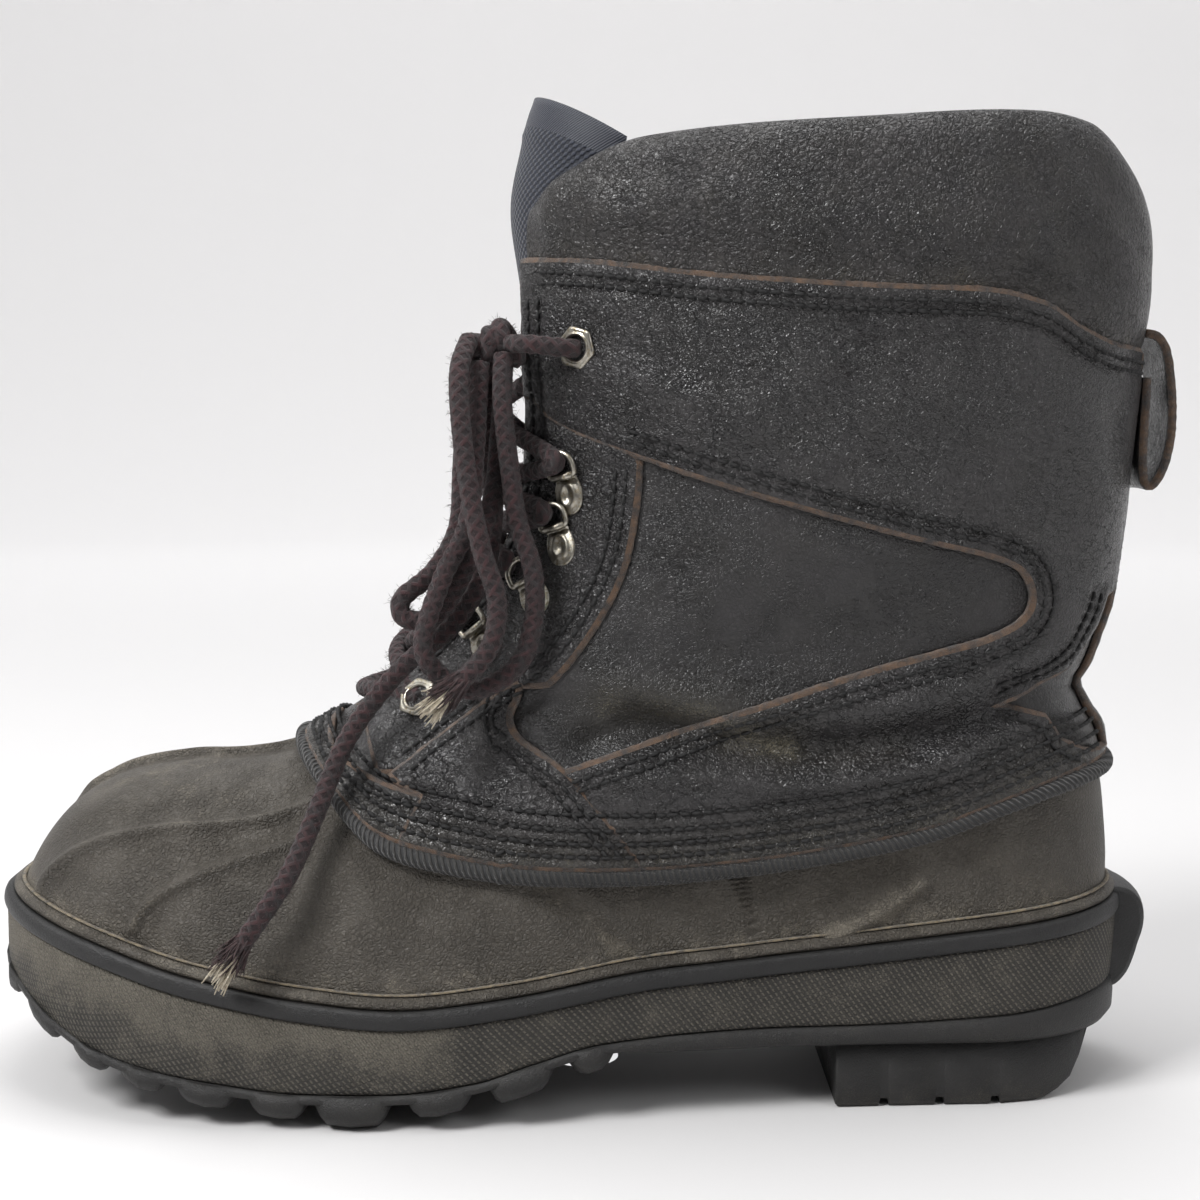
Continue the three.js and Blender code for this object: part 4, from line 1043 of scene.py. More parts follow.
@dataclass(frozen=True)
class WeaveFinish(Finish):
    """Woven cloth with warp and weft threads, with a painted highlight on the raised threads."""

    # Colour of the painted highlight on the raised threads.
    pale: tuple[float, float, float, float] = colour(52, 58, 74)
    pitch: float = 1.1
    depth: float = 0.5
    twill: bool = False

    def build(self, effects: Effects) -> bpy.types.Material:
        """Makes the material."""
        material, graph, shader = self.start()
        along, up = graph.flat()
        warp = graph.times(along, 2 * math.pi / self.pitch)
        weft = graph.times(up, 2 * math.pi / self.pitch)
        if self.twill:
            height = graph.math("SINE", graph.plus(warp, weft))
        else:
            height = graph.times(graph.math("SINE", warp), graph.math("SINE", weft))
        raised = graph.span(height, -0.6, 0.9)
        where = effects.where(graph)
        lint = graph.span(graph.noise(where, 1.8, 5.0, 0.8), 0.62, 0.8)
        # Painted highlight: the raised threads are painted in the paler colour.
        tint = graph.mix(graph.times(raised, 0.5), self.base, self.pale)
        tint = graph.mix(graph.times(lint, 0.25), tint, colour(150, 145, 138))
        graph.link(tint, shader, "Base Color")
        self.bump(graph, shader, raised, self.depth)
        shader.inputs["Sheen Weight"].default_value = 0.15
        return material


@dataclass(frozen=True)
class FibreFinish(Finish):
    """Matted or loose fibres in two colours, as on raw leather, felt and lace."""

    other: tuple[float, float, float, float] = colour(60, 40, 30)
    patch: float = 0.6
    depth: float = 0.6
    sheen: float = 0.3

    def build(self, effects: Effects) -> bpy.types.Material:
        """Makes the material."""
        material, graph, shader = self.start()
        where = effects.where(graph)
        coarse = graph.noise(where, self.patch, 4.0, 0.7)
        fine = graph.noise(where, 4.5, 5.0, 0.8)
        share = graph.span(graph.plus(coarse, graph.times(fine, 0.4)), 0.5, 0.9)
        tint = graph.mix(share, self.base, self.other)
        graph.link(tint, shader, "Base Color")
        self.bump(graph, shader, graph.plus(fine, coarse), self.depth)
        shader.inputs["Sheen Weight"].default_value = self.sheen
        return material


@dataclass(frozen=True)
class MetalFinish(Finish):
    """Worn plated metal with dull spots."""

    dull: tuple[float, float, float, float] = colour(120, 108, 84)

    def build(self, effects: Effects) -> bpy.types.Material:
        """Makes the material."""
        material, graph, shader = self.start()
        where = effects.where(graph)
        spots = graph.span(graph.noise(where, 0.9, 5.0, 0.7), 0.45, 0.7)
        graph.link(graph.mix(spots, self.base, self.dull), shader, "Base Color")
        rough = graph.plus(self.rough, graph.times(spots, 0.2))
        graph.link(rough, shader, "Roughness")
        shader.inputs["Metallic"].default_value = 1.0
        self.bump(graph, shader, graph.noise(where, 2.0, 4.0), 0.08)
        return material


@dataclass(frozen=True)
class BraidFinish(Finish):
    """A round braid: slanted bundles that cross, dark between them."""

    other: tuple[float, float, float, float] = colour(66, 58, 60)
    pitch: float = BRAID_PITCH
    strands: int = BRAID_STRANDS

    def build(self, effects: Effects) -> bpy.types.Material:
        """Makes the material."""
        material, graph, shader = self.start()
        along, around_it = graph.flat()
        along = graph.times(along, 2 * math.pi / self.pitch)
        turn = graph.times(around_it, self.strands / 2 / TUBE_UV)
        left = graph.math("SINE", graph.plus(along, turn))
        right = graph.math("SINE", graph.math("SUBTRACT", along, turn))
        height = graph.math("MAXIMUM", left, right)
        gaps = graph.span(height, -0.1, 0.75)
        where = effects.where(graph)
        fibres = graph.noise(where, 5.5, 5.0, 0.8)
        patch = graph.span(graph.noise(where, 0.35, 4.0, 0.7), 0.4, 0.62)
        bundle = graph.math("GREATER_THAN", left, right)
        share = graph.times(graph.plus(patch, graph.times(bundle, 0.35)), 0.75)
        tint = graph.mix(share, self.base, self.other)
        tint = graph.mix(graph.times(graph.span(fibres, 0.5, 0.72), 0.4), tint, colour(104, 86, 84))
        shade = graph.times(graph.math("SUBTRACT", 1.0, gaps), 0.72)
        tint = graph.mix(shade, tint, colour(24, 17, 19))
        graph.link(tint, shader, "Base Color")
        lumps = graph.plus(graph.times(gaps, 0.6), graph.times(fibres, 0.5))
        self.bump(graph, shader, lumps, 0.55)
        shader.inputs["Sheen Weight"].default_value = 0.12
        return material


class Finishes:
    """Every material of the boot."""

    def __init__(self) -> None:
        """Makes them all."""
        effects = Effects()
        self.flash = FibreFinish(
            "moulding_line", colour(150, 134, 104), 0.8, other=colour(70, 62, 52)
        ).build(effects)
        self.shell = RubberFinish(
            "shell_rubber", colour(70, 65, 58), 0.5, dust_and_rib_highlight=colour(134, 127, 114), dust=0.7, grain=1.2,
            depth=2.8, swell=0.15,
        ).build(effects)
        # The band's ribs get a painted highlight on their crests, in the dust colour.
        self.band = RubberFinish(
            "band_rubber", colour(38, 36, 33), 0.66, dust_and_rib_highlight=colour(132, 126, 114), ribs=1.7, depth=1.3,
            dust=0.5,
        ).build(effects)
        self.black = RubberFinish(
            "black_rubber", colour(20, 20, 21), 0.5, dust_and_rib_highlight=colour(104, 98, 88), dust=0.3, depth=0.6
        ).build(effects)
        self.leather = LeatherFinish(
            "leather", colour(21, 19, 21), 0.27, depth=1.5, cracks=0.66, swell=0.45, gloss=0.6
        ).build(effects)
        self.window = LeatherFinish(
            "window_leather", colour(24, 23, 24), 0.31, pebble=1.1, depth=1.0, cracks=0.1, swell=0.3
        ).build(effects)
        self.collar = LeatherFinish(
            "collar_leather", colour(26, 24, 26), 0.33, pebble=1.8, depth=2.4, cracks=0.6, dust=0.5,
            swell=0.25,
        ).build(effects)
        self.raw = FibreFinish(
            "raw_edge", colour(112, 80, 50), 0.95, other=colour(27, 22, 20), patch=0.3, depth=0.9
        ).build(effects)
        self.thread = FibreFinish(
            "thread", colour(11, 11, 12), 0.6, other=colour(26, 25, 25), sheen=0.0, depth=0.2
        ).build(effects)
        self.felt = FibreFinish("felt", colour(98, 34, 34), 1.0, other=colour(58, 20, 22)).build(effects)
        self.canvas = WeaveFinish("nylon", colour(21, 25, 36), 0.75, pitch=2.0).build(effects)
        self.twill = WeaveFinish(
            "nylon_binding", colour(24, 28, 40), 0.55, pitch=0.9, depth=0.2, twill=True
        ).build(effects)
        self.rope = WeaveFinish(
            "rope", colour(28, 28, 29), 0.7, pale=colour(56, 54, 50), pitch=1.7, depth=0.6, twill=True
        ).build(effects)
        self.metal = MetalFinish("metal", colour(168, 164, 154), 0.28).build(effects)
        self.lace = BraidFinish("cord", colour(62, 37, 39), 0.95, other=colour(42, 39, 40)).build(effects)
        self.fuzz = FibreFinish(
            "fuzz", colour(84, 62, 62), 1.0, other=colour(48, 40, 42), sheen=0.1
        ).build(effects)
        self.frayed = FibreFinish(
            "frayed", colour(222, 212, 190), 0.9, other=colour(176, 160, 134)
        ).build(effects)


# Strips around the last


@dataclass
class Strip:
    """A closed band around the whole last: its section is a row of line shares and lifts."""

    low: Line
    high: Line
    section: list[tuple[float, float]]
    stations: int = 300

    def mesh(self, data: MeshData, slot: int = 0) -> np.ndarray:
        """Adds the band to a mesh.

        Args:
            data: the mesh that it joins.
            slot: its material slot.

        Returns:
            The band's points, by angle and section row.
        """
        angle = around(self.stations)
        low = LAST.level_at(angle, self.low)
        high = LAST.level_at(angle, self.high)
        points = np.stack([lifted(angle, lerp(low, high, s), lift) for s, lift in self.section], 1)
        run = distances(points[:, 0])[:, None]
        rise = np.linalg.norm(np.diff(points, axis=1, prepend=points[:, :1]), axis=2).cumsum(1)
        uv = np.stack(np.broadcast_arrays(run, rise), -1)
        data.loft(points, closed=True, slot=slot, uv=uv)
        return points


def paint_dust(piece: bpy.types.Object, dust: Callable[[np.ndarray], np.ndarray]) -> None:
    """Writes how much dust lies at each corner of a mesh, and on the shell a painted highlight along the toe
    ridges too.

    Args:
        piece: the object.
        dust: gives the amount at points of the boot's frame.
    """
    flat = np.zeros(3 * len(piece.data.vertices))
    piece.data.vertices.foreach_get("co", flat)
    points = flat.reshape(-1, 3) / MM - ORIGIN
    layer = piece.data.attributes.new("dust", "FLOAT", "POINT")
    layer.data.foreach_set("value", np.clip(dust(points), 0, 2))


def near_line(points: np.ndarray, line: Rows, width: float) -> np.ndarray:
    """One on a line of the side view, fading to nothing over a width."""
    return swell(to_polyline(points[:, [0, 2]], np.array(line, float)), 1.0, width)


@dataclass
class Sole:
    """The midsole band, its stripe, the outsole with its lugs, the heel and its kick."""

    finishes: Finishes
    lugs: tuple[tuple[float, float, float], ...] = (
        (-154.5, 9, 3.5), (-142, 12.5, 3.8), (-127, 12, 3.6), (-112, 13, 3.8), (-95, 16, 4.6),
        (-76, 16, 5), (-56.5, 20, 6.6), (-34, 17, 5), (-13, 17, 6), (5, 12, 5),
    )
    resting: float = -56.5
    channel: float = 4.0
    edge: float = 4.2
    thick: float = 3.0
    shank: float = 17.7
    heel_under: tuple[tuple[float, float], ...] = (
        (70, 0.6), (70.7, 0), (81.6, 0), (82, 1.8), (84, 1.8), (84.4, 0), (96.6, 0), (97, 1.8),
        (99, 1.8), (99.4, 0), (111.6, 0), (112, 1.8), (114, 1.8), (114.4, 0), (124, 0), (127, 0.4),
        (131, 2), (135, 4.5), (138, 9.5), (141, 17.2),
    )
    heel_top: float = 17.6

    def build(self) -> None:
        """Makes every piece of the sole."""
        self.band()
        self.stripe()
        self.outsole()
        self.heel()
        self.kick()

    def band(self) -> None:
        """The ribbed side band with the cup's floor."""
        data = MeshData()
        face = BAND_FACE
        section = [(0, 0.4), (0, face - 0.6), (0.03, face)]
        section += [(float(s), face) for s in np.linspace(0.1, 0.9, 8)]
        section += [(0.97, face), (1, face - 0.4), (1, 0.4)]
        Strip(SOLE_LINE, lambda x: STRIPE_LINE(x) - 2.6, section).mesh(data)
        angle = around(120)
        rim = LAST.ring(angle, LAST.level_at(angle, SOLE_LINE))
        middle = np.column_stack([rim[:, 0] * 0.82, np.zeros(120), np.zeros(120)])
        rows = []
        for share, height in ((0.02, 0.4), (0.5, 0.4), (0.99, 0.4), (0.99, 4.3), (0.5, 4.3), (0.02, 4.3)):
            row = lerp(middle, rim, share)
            row[:, 2] = SOLE_LINE(row[:, 0]) + height
            rows.append(row)
        data.loft(np.stack(rows), slot=1)
        piece = data.build("side_band", [self.finishes.band, self.finishes.felt])
        paint_dust(piece, lambda p: 0.35 + 0.5 * near_line(p, [(-160, 47), (-100, 30), (-40, 24)], 9))
        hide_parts("midsole")

    def stripe(self) -> None:
        """The black stripe, the soft bead above it and the thin moulding line above that."""
        data = MeshData()
        face = BAND_FACE + 0.9
        black = [(0, 0.4), (0, face - 1.4), (0.07, face - 0.3), (0.2, face), (0.5, face + 0.15)]
        black += [(0.8, face), (0.93, face - 0.4), (1, face - 1.5), (1, 0.4)]
        Strip(lambda x: STRIPE_LINE(x) - 2.7, lambda x: STRIPE_LINE(x) + 2.3, black).mesh(data)
        bead = [(0, 0.3), (0, 2.0), (0.2, 2.6), (0.45, 2.7), (0.75, 2.1), (1, 0.9), (1, 0.3)]
        Strip(lambda x: STRIPE_LINE(x) + 2.4, lambda x: STRIPE_LINE(x) + 5.4, bead).mesh(data, 1)
        flash = [(0, 0.2), (0.2, 1.0), (0.5, 1.25), (0.8, 0.9), (1, 0.2)]
        Strip(lambda x: STRIPE_LINE(x) + 5.5, lambda x: STRIPE_LINE(x) + 6.2, flash).mesh(data, 2)
        piece = data.build("stripe_and_bead", [self.finishes.black, self.finishes.shell, self.finishes.flash])
        paint_dust(piece, lambda p: 0.3 * smooth(1, 3, p[:, 2] - STRIPE_LINE(p[:, 0])))
        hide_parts("stripe")

    def underside(self, x: np.ndarray) -> np.ndarray:
        """The height of the outsole between the lugs."""
        return lerp(SOLE_LINE(x) - self.thick, self.shank, smooth(8, 24, x))

    def plan(self, grow: float) -> np.ndarray:
        """The outline seen from above at the sole line, grown by a distance."""
        angle = around(360)
        return lifted(angle, LAST.level_at(angle, SOLE_LINE), grow)[:, :2]

    def side_of(self, outline: np.ndarray, x: float, side: int) -> float:
        """Where an outline is across the boot at a place along it."""
        part = outline[(outline[:, 1] - PLAN_MIDDLE(outline[:, 0])) * side > 0]
        order = np.argsort(part[:, 0])
        return float(np.interp(x, part[order, 0], part[order, 1]))

    def outsole(self) -> None:
        """The outsole's body and its cross lugs."""
        data = MeshData()
        outline = self.plan(self.edge)
        middle = np.column_stack([outline[:, 0] * 0.6, 0 * outline[:, 0]])
        rows = []
        for inward, height in (
            (0.99, 1.0), (0.5, 1.0), (0.035, 1.0), (0.006, 0.85), (0, 0.5), (0.003, 0.2), (0.03, 0.0),
            (0.5, 0.0), (0.99, 0.0),
        ):
            flat = lerp(outline, middle, inward)
            z = lerp(self.underside(flat[:, 0]), SOLE_LINE(flat[:, 0]), height)
            rows.append(np.column_stack([flat, z]))
        data.loft(np.stack(rows))
        wide = self.plan(self.edge + 0.6)
        for x, length, depth in self.lugs:
            for side in (-1, 1):
                self.lug(data, wide, x, length, depth, side)
        piece = data.build("outsole_and_lugs", [self.finishes.black])
        paint_dust(piece, lambda p: 0.35 * smooth(16, 4, p[:, 2] - self.underside(p[:, 0])))
        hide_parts("outsole")

    def lug(
        self, data: MeshData, outline: np.ndarray, x: float, length: float, depth: float, side: int
    ) -> None:
        """Adds one half of a cross lug, worn round at its edges.

        Args:
            data: the outsole's mesh.
            outline: how far out the lug reaches, seen from above.
            x: the lug's middle.
            length: its length along the boot.
            depth: how far it hangs under the outsole.
            side: the sign of Y on its side.
        """
        half = length / 2
        rows = []
        worn = 0.35 * math.sin(3.7 * x + side)
        for along, full, inset in (
            (-half - 0.6, -0.12, 2.6), (-half + 0.4, 0.3, 1.7), (-half + 1.8, 0.68, 0.9),
            (-half + 3.6, 0.93, 0.3), (worn, 1, -0.2 + worn), (half - 3.2, 0.95, 0.3), (half - 1.5, 0.7, 0.8),
            (half - 0.3, 0.32, 1.6), (half + 0.6, -0.12, 2.6),
        ):
            at = x + along
            root = float(self.underside(np.array(at)))
            low = lerp(root, 0.0 if x == self.resting else root - depth, full)
            top = float(SOLE_LINE(np.array(at)))
            inner = side * self.channel
            reach = self.side_of(outline, at, side) - side * inset
            reach = inner + side * max(2.0, (reach - inner) * side)
            row = [(at, inner, top - 1.2)]
            for share, rise in (
                (0, 1.2), (0.02, 0.3), (0.08, 0), (0.5, 0), (0.86, 0.0), (0.93, 0.4), (0.975, 1.5), (1, 3.4),
            ):
                row.append((at, lerp(inner, reach, share), min(low + rise, top - 0.9)))
            row.append((at, reach - side * 0.15, top - 0.5))
            row.append((at, reach - side * 1.4, top - 0.3))
            rows.append(row)
        data.loft(np.array(rows))

    def heel(self) -> None:
        """The heel block, notched across underneath and worn off at the back."""
        data = MeshData()
        outline = self.plan(1.0)
        rows = []
        for x, low in self.heel_under:
            left, right = self.side_of(outline, x, -1), self.side_of(outline, x, 1)
            inset = 0.8 * float(smooth(136, 141, np.array(x)))
            corner = min(1.4, (self.heel_top - low) / 2)
            row = [(x, left + inset, self.heel_top), (x, left + inset, low + corner)]
            row += [(x, left + 0.4, low + 0.3 * corner), (x, left + 1.5, low), (x, right - 1.5, low)]
            row += [(x, right - 0.4, low + 0.3 * corner), (x, right - inset, low + corner)]
            row.append((x, right - inset, self.heel_top))
            rows.append(row)
        data.loft(np.array(rows))
        piece = data.build("heel_block", [self.finishes.black])
        paint_dust(piece, lambda p: 0.5 * smooth(7, 1, p[:, 2]))
        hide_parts("heel")

    def kick(self) -> None:
        """The nub at the back, with a lip above its tapering foot."""
        profile = catmull(np.array([
            (150, 53.4), (156, 52.6), (159.6, 49.8), (161, 45.8), (160.8, 41.6), (159.6, 37.6),
            (158.4, 33.4), (156.6, 29), (153.6, 25.6), (150, 24.4),
        ], float), 3)
        rows = []
        for y in np.concatenate([[-15.3, -15.1], np.linspace(-14.4, 14.4, 17), [15.1, 15.3]]):
            fall = 0.011 * y * y + 1.2 * max(0.0, abs(y) - 14.4)
            x = np.where(profile[:, 0] > 151, profile[:, 0] - fall, profile[:, 0] - 4)
            pinch = lerp(39.0, profile[:, 1], 1 - 0.06 * max(0.0, abs(y) - 14.4))
            rows.append(np.column_stack([x, np.full(len(x), y), pinch]))
        data = MeshData()
        data.loft(np.stack(rows))
        piece = data.build("heel_nub", [self.finishes.black])
        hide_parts("heel_kick")


@dataclass
class Shell:
    """The moulded rubber foot with its toe ridges, seams and creases, and the rope on its edge."""

    finishes: Finishes
    ridges: tuple[Rows, ...] = (
        ((-78, 1), (-104, 3), (-130, 5), (-146, 6)),
        ((-68, -31), (-81, -33), (-99, -35), (-120, -34.5), (-138, -31), (-151, -25)),
        ((-70, 29), (-99, 37), (-120, 42), (-143, 39)),
    )
    side_ridge: Rows = ((-74, 71), (-89, 66.5), (-99, 63), (-110, 57), (-115, 50))

    def build(self) -> None:
        """Makes the shell and its rope."""
        stations, rises = 560, 100
        angle = around(stations)
        angle += 0.55 * np.sin(angle)
        low = LAST.level_at(angle, lambda x: STRIPE_LINE(x) + 1.5)
        high = LAST.level_at(angle, lambda x: ROPE_LINE(x) + 1.6)
        relief = self.creases()
        outer = []
        for share in np.linspace(0, 1, rises):
            level = lerp(low, high, share)
            base = LAST.ring(angle, level)
            push = relief.height(base) + self.toe_push(base)
            outer.append(base + LAST.normal(angle, level) * push[:, None])
        inner = [lifted(angle, lerp(low, high, s), -SHELL_WALL) for s in np.linspace(1, 0, 14)]
        grid = np.stack(outer + inner)
        slots = np.repeat(np.arange(len(grid)) >= rises, stations).astype(int)
        data = MeshData()
        data.loft(grid, closed=True, slot=slots)
        piece = data.build("rubber_shell", [self.finishes.shell, self.finishes.felt])
        # The dust attribute here also carries a painted highlight along the toe ridges.
        paint_dust(piece, self.dust)
        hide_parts("shell")
        self.rope()

    def creases(self) -> Relief:
        """Seams and creases of the rubber, seen from the side."""
        return Relief([
            Fold(((44, 64), (47, 52), (49, 41)), -0.7, 0.7),
            Fold(((42.6, 64), (45.6, 52), (47.6, 41)), 0.6, 1.0),
            Fold(((18, 61), (19, 50), (20, 38)), 0.35, 0.8),
            Fold(((66, 45), (78, 51), (92, 60)), 1.7, 2.4, Side.OUTER),
            Fold(((62, 50), (75, 58), (88, 67)), -1.3, 4.5, Side.OUTER),
            Fold(((70, 50), (90, 62)), 1.0, 4.0, Side.INNER),
            Fold(((-8, 61), (3, 54), (14, 43)), -1.4, 2.4, Side.OUTER),
            Fold(((-4, 63), (8, 55), (18, 44)), 0.8, 3.0, Side.OUTER),
            Fold(((-20, 60), (-4, 50), (8, 41)), 0.7, 5.0),
            Fold(((-40, 62), (-60, 56), (-84, 56)), -0.9, 6.0),
            Fold(((100, 70), (112, 62), (126, 56)), -0.8, 5.0),
            Fold(((60, 62), (84, 70), (104, 74)), 0.5, 5.0),
        ])

    def toe_push(self, points: np.ndarray) -> np.ndarray:
        """How far the toe ridges stand out at points of the form."""
        push = np.zeros(len(points))
        for route in self.ridges:
            away = to_polyline(points[:, :2], catmull(np.array(route, float), 8))
            ridge = swell(away, 1.9, 1.15) - swell(away - 4.5, 0.8, 3.6)
            tip = min(x for x, _ in route)
            ends = smooth(-66, -76, points[:, 0]) * smooth(tip - 1, tip + 9, points[:, 0])
            push += ridge * ends * smooth(50, 62, points[:, 2])
        side_view = points[:, [0, 2]]
        away = to_polyline(side_view, catmull(np.array(self.side_ridge, float), 8))
        return push + swell(away, 1.8, 1.2) - swell(away - 5, 0.6, 4)

    def dust(self, points: np.ndarray) -> np.ndarray:
        """Dust on the toe, along the bead and in the creases, and a painted highlight along the crests of the
        ridges.
        """
        above = points[:, 2] - STRIPE_LINE(points[:, 0])
        dust = 0.4 * smooth(16, 5, above)
        dust += 0.3 * smooth(68, 86, points[:, 2]) * smooth(-60, -110, points[:, 0])
        # Painted highlight: a pale line along the ridges' crests, laid in the dust mask.
        dust += 0.3 * smooth(0.4, 1.4, self.toe_push(points))
        dust += 0.4 * near_line(points, [(66, 45), (78, 51), (92, 60)], 2.4)
        return dust + 0.4 * near_line(points, [(-8, 61), (3, 54), (14, 43)], 2.4)

    def rope(self) -> None:
        """The ribbed woven cord along the shell's top edge."""
        data = MeshData()
        turns = np.linspace(-math.pi / 2, 1.5 * math.pi, 14, endpoint=False)
        section = [(0.5 + 0.5 * math.sin(t), 2.5 + 2.2 * math.cos(t)) for t in turns]
        half = ROPE / 2
        strip = Strip(lambda x: ROPE_LINE(x) - half, lambda x: ROPE_LINE(x) + half, section, 1000)
        points = strip.mesh(data)
        centre = points.mean(1, keepdims=True)
        run = distances(centre[:, 0])[:, None]
        count = round(float(run[-1, 0]) / 2.1)
        turn = np.arange(len(turns))[None, :] * (2 * math.pi / len(turns))
        rib = np.sin(run / (run[-1] * 1.001) * 2 * math.pi * count + 2 * turn)
        data.points[0] = (centre + (points - centre) * (1 + 0.07 * rib)[..., None]).reshape(-1, 3)
        piece = data.build("rope_binding", [self.finishes.rope])
        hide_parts("binding")


# Leather


def outline_of(rows: Rows, per_span: int = 5) -> np.ndarray:
    """A smooth line of the side view through a table's points."""
    return catmull(np.array(rows, float), per_span)


WINDOW = outline_of([
    (-8, 188.5), (2, 180), (38, 167), (84, 154), (111, 147), (119, 140), (118, 131), (106, 125),
    (72, 115), (33, 102), (-2, 90),
])
QUARTER_BACK = np.array([
    (172, 140), (142, 136), (139, 128), (131, 118), (120, 111), (109, 107), (114, 106.5),
    (123, 103), (128, 96), (137, 91.5), (172, 88.5),
], float)
FACING_EDGE = outline_of([(18, 174), (17, 160), (14, 144), (7, 130), (-4, 115.5), (-14, 108.5)])
VAMP_EDGE = outline_of([(-14, 108.5), (-16, 104), (-13, 98), (-2, 90), (8, 78), (19, 64)])
FACING_SEAM = np.array([(-13, 113), (-24, 105), (-35, 96), (-45, 88.5)], float)
FACING_TOE = np.array([(-50, 88), (-53.5, 96), (-55, 104), (-57, 114)], float)
BAND_TOP = outline_of([(-67, 106), (-65.5, 92), (-59, 88), (-48, 84), (-38.5, 82)], 3)
SEAM_GAP = 0.4
BACKSTAY_HALF = 8.7


def joined(*parts: np.ndarray | Rows) -> np.ndarray:
    """Outline points joined in order."""
    return np.vstack([np.asarray(part, float).reshape(-1, 2) for part in parts])


@dataclass(frozen=True)
class Panel:
    """An overlay: its outline in the side view, and how far it stands over the lowest one."""

    name: str
    outline: np.ndarray
    rise: float = 0.0
    slant: float = 1.5


QUARTER = Panel("quarter", joined(
    [(-60, 260), (-60, 200), (-30, 194)], WINDOW, VAMP_EDGE[VAMP_EDGE[:, 1] < 89] + (SEAM_GAP, 0),
    [(30, 40), (172, 40)], QUARTER_BACK[::-1], [(172, 260)],
), 0.5)
FACING = Panel("facing", joined(
    [(-60, 194), (-30, 194 - SEAM_GAP)],
    WINDOW[(WINDOW[:, 0] < 17) & (WINDOW[:, 1] > 160)] - (0, SEAM_GAP),
    FACING_EDGE[(FACING_EDGE[:, 1] < 173) & (FACING_EDGE[:, 1] > 112.5)],
    FACING_SEAM, FACING_TOE, [(-60, 130)],
))
VAMP = Panel("vamp", joined(
    FACING_SEAM[::-1] - (0, SEAM_GAP), VAMP_EDGE,
    [(19, 40), (-44, 40), (-44.5, 71), (-37.8, 82.8), (-46.5, 87)],
), 0.8)
FRONT_BAND = Panel(
    "front_band", joined(BAND_TOP, [(-45, 71), (-45, 50), (-120, 50), (-120, 106)]), 0.5, 1.6
)

SHAFT_FOLDS = Relief([
    Fold(((2, 98), (18, 102.5), (33, 100), (49, 97), (73, 97.5), (94, 100.5), (114, 106)), -3.0, 3.4),
    Fold(((8, 101), (33, 100), (60, 98), (96, 101)), -1.2, 9.0),
    Fold(((10, 90), (33, 90.5), (52, 88), (76, 89), (102, 93.5)), 2.3, 4.2),
    Fold(((14, 113), (32, 109.5), (52, 107), (78, 108), (106, 114)), 2.4, 5.0),
    Fold(((-8, 109), (8, 106), (22, 104)), -1.2, 5.0),
    Fold(((20, 120), (48, 123), (80, 127)), -1.4, 8.0),
    Fold(((22, 168), (25, 148), (20, 128)), -1.2, 6.0),
    Fold(((60, 150), (84, 146), (104, 140)), 1.2, 9.0),
    Fold(((60, 178), (84, 170), (108, 160)), -1.0, 10.0),
    Fold(((100, 128), (114, 121), (128, 123)), 1.4, 5.0),
    Fold(((112, 113), (128, 111), (142, 109)), -2.2, 3.6),
    Fold(((-2, 197), (20, 191), (44, 184)), 1.3, 6.0),
    Fold(((30, 207), (60, 203), (96, 206)), -1.0, 9.0),
    Fold(((10, 212), (30, 206), (52, 210)), 0.8, 5.0, Side.OUTER),
    Fold(((-20, 128), (-10, 138), (-4, 152)), -0.8, 5.0),
    Fold(((-34, 92), (-22, 97), (-10, 103)), 1.1, 4.5),
    Fold(((-30, 80), (-8, 78), (8, 74)), 1.0, 5.0),
    Fold(((-20, 86), (-4, 84), (6, 82)), -0.9, 3.5, Side.OUTER),
    Fold(((118, 190), (132, 178), (138, 160)), 1.2, 9.0),
    Fold(((104, 176), (122, 166), (130, 150)), -1.2, 8.0),
    Fold(((126, 104), (136, 98), (146, 96)), 1.2, 4.0),
])


def shaft_point(angle: np.ndarray, level: np.ndarray, lift: np.ndarray | float) -> np.ndarray:
    """Points over the folded shaft."""
    return lifted(angle, level, lift, SHAFT_FOLDS)


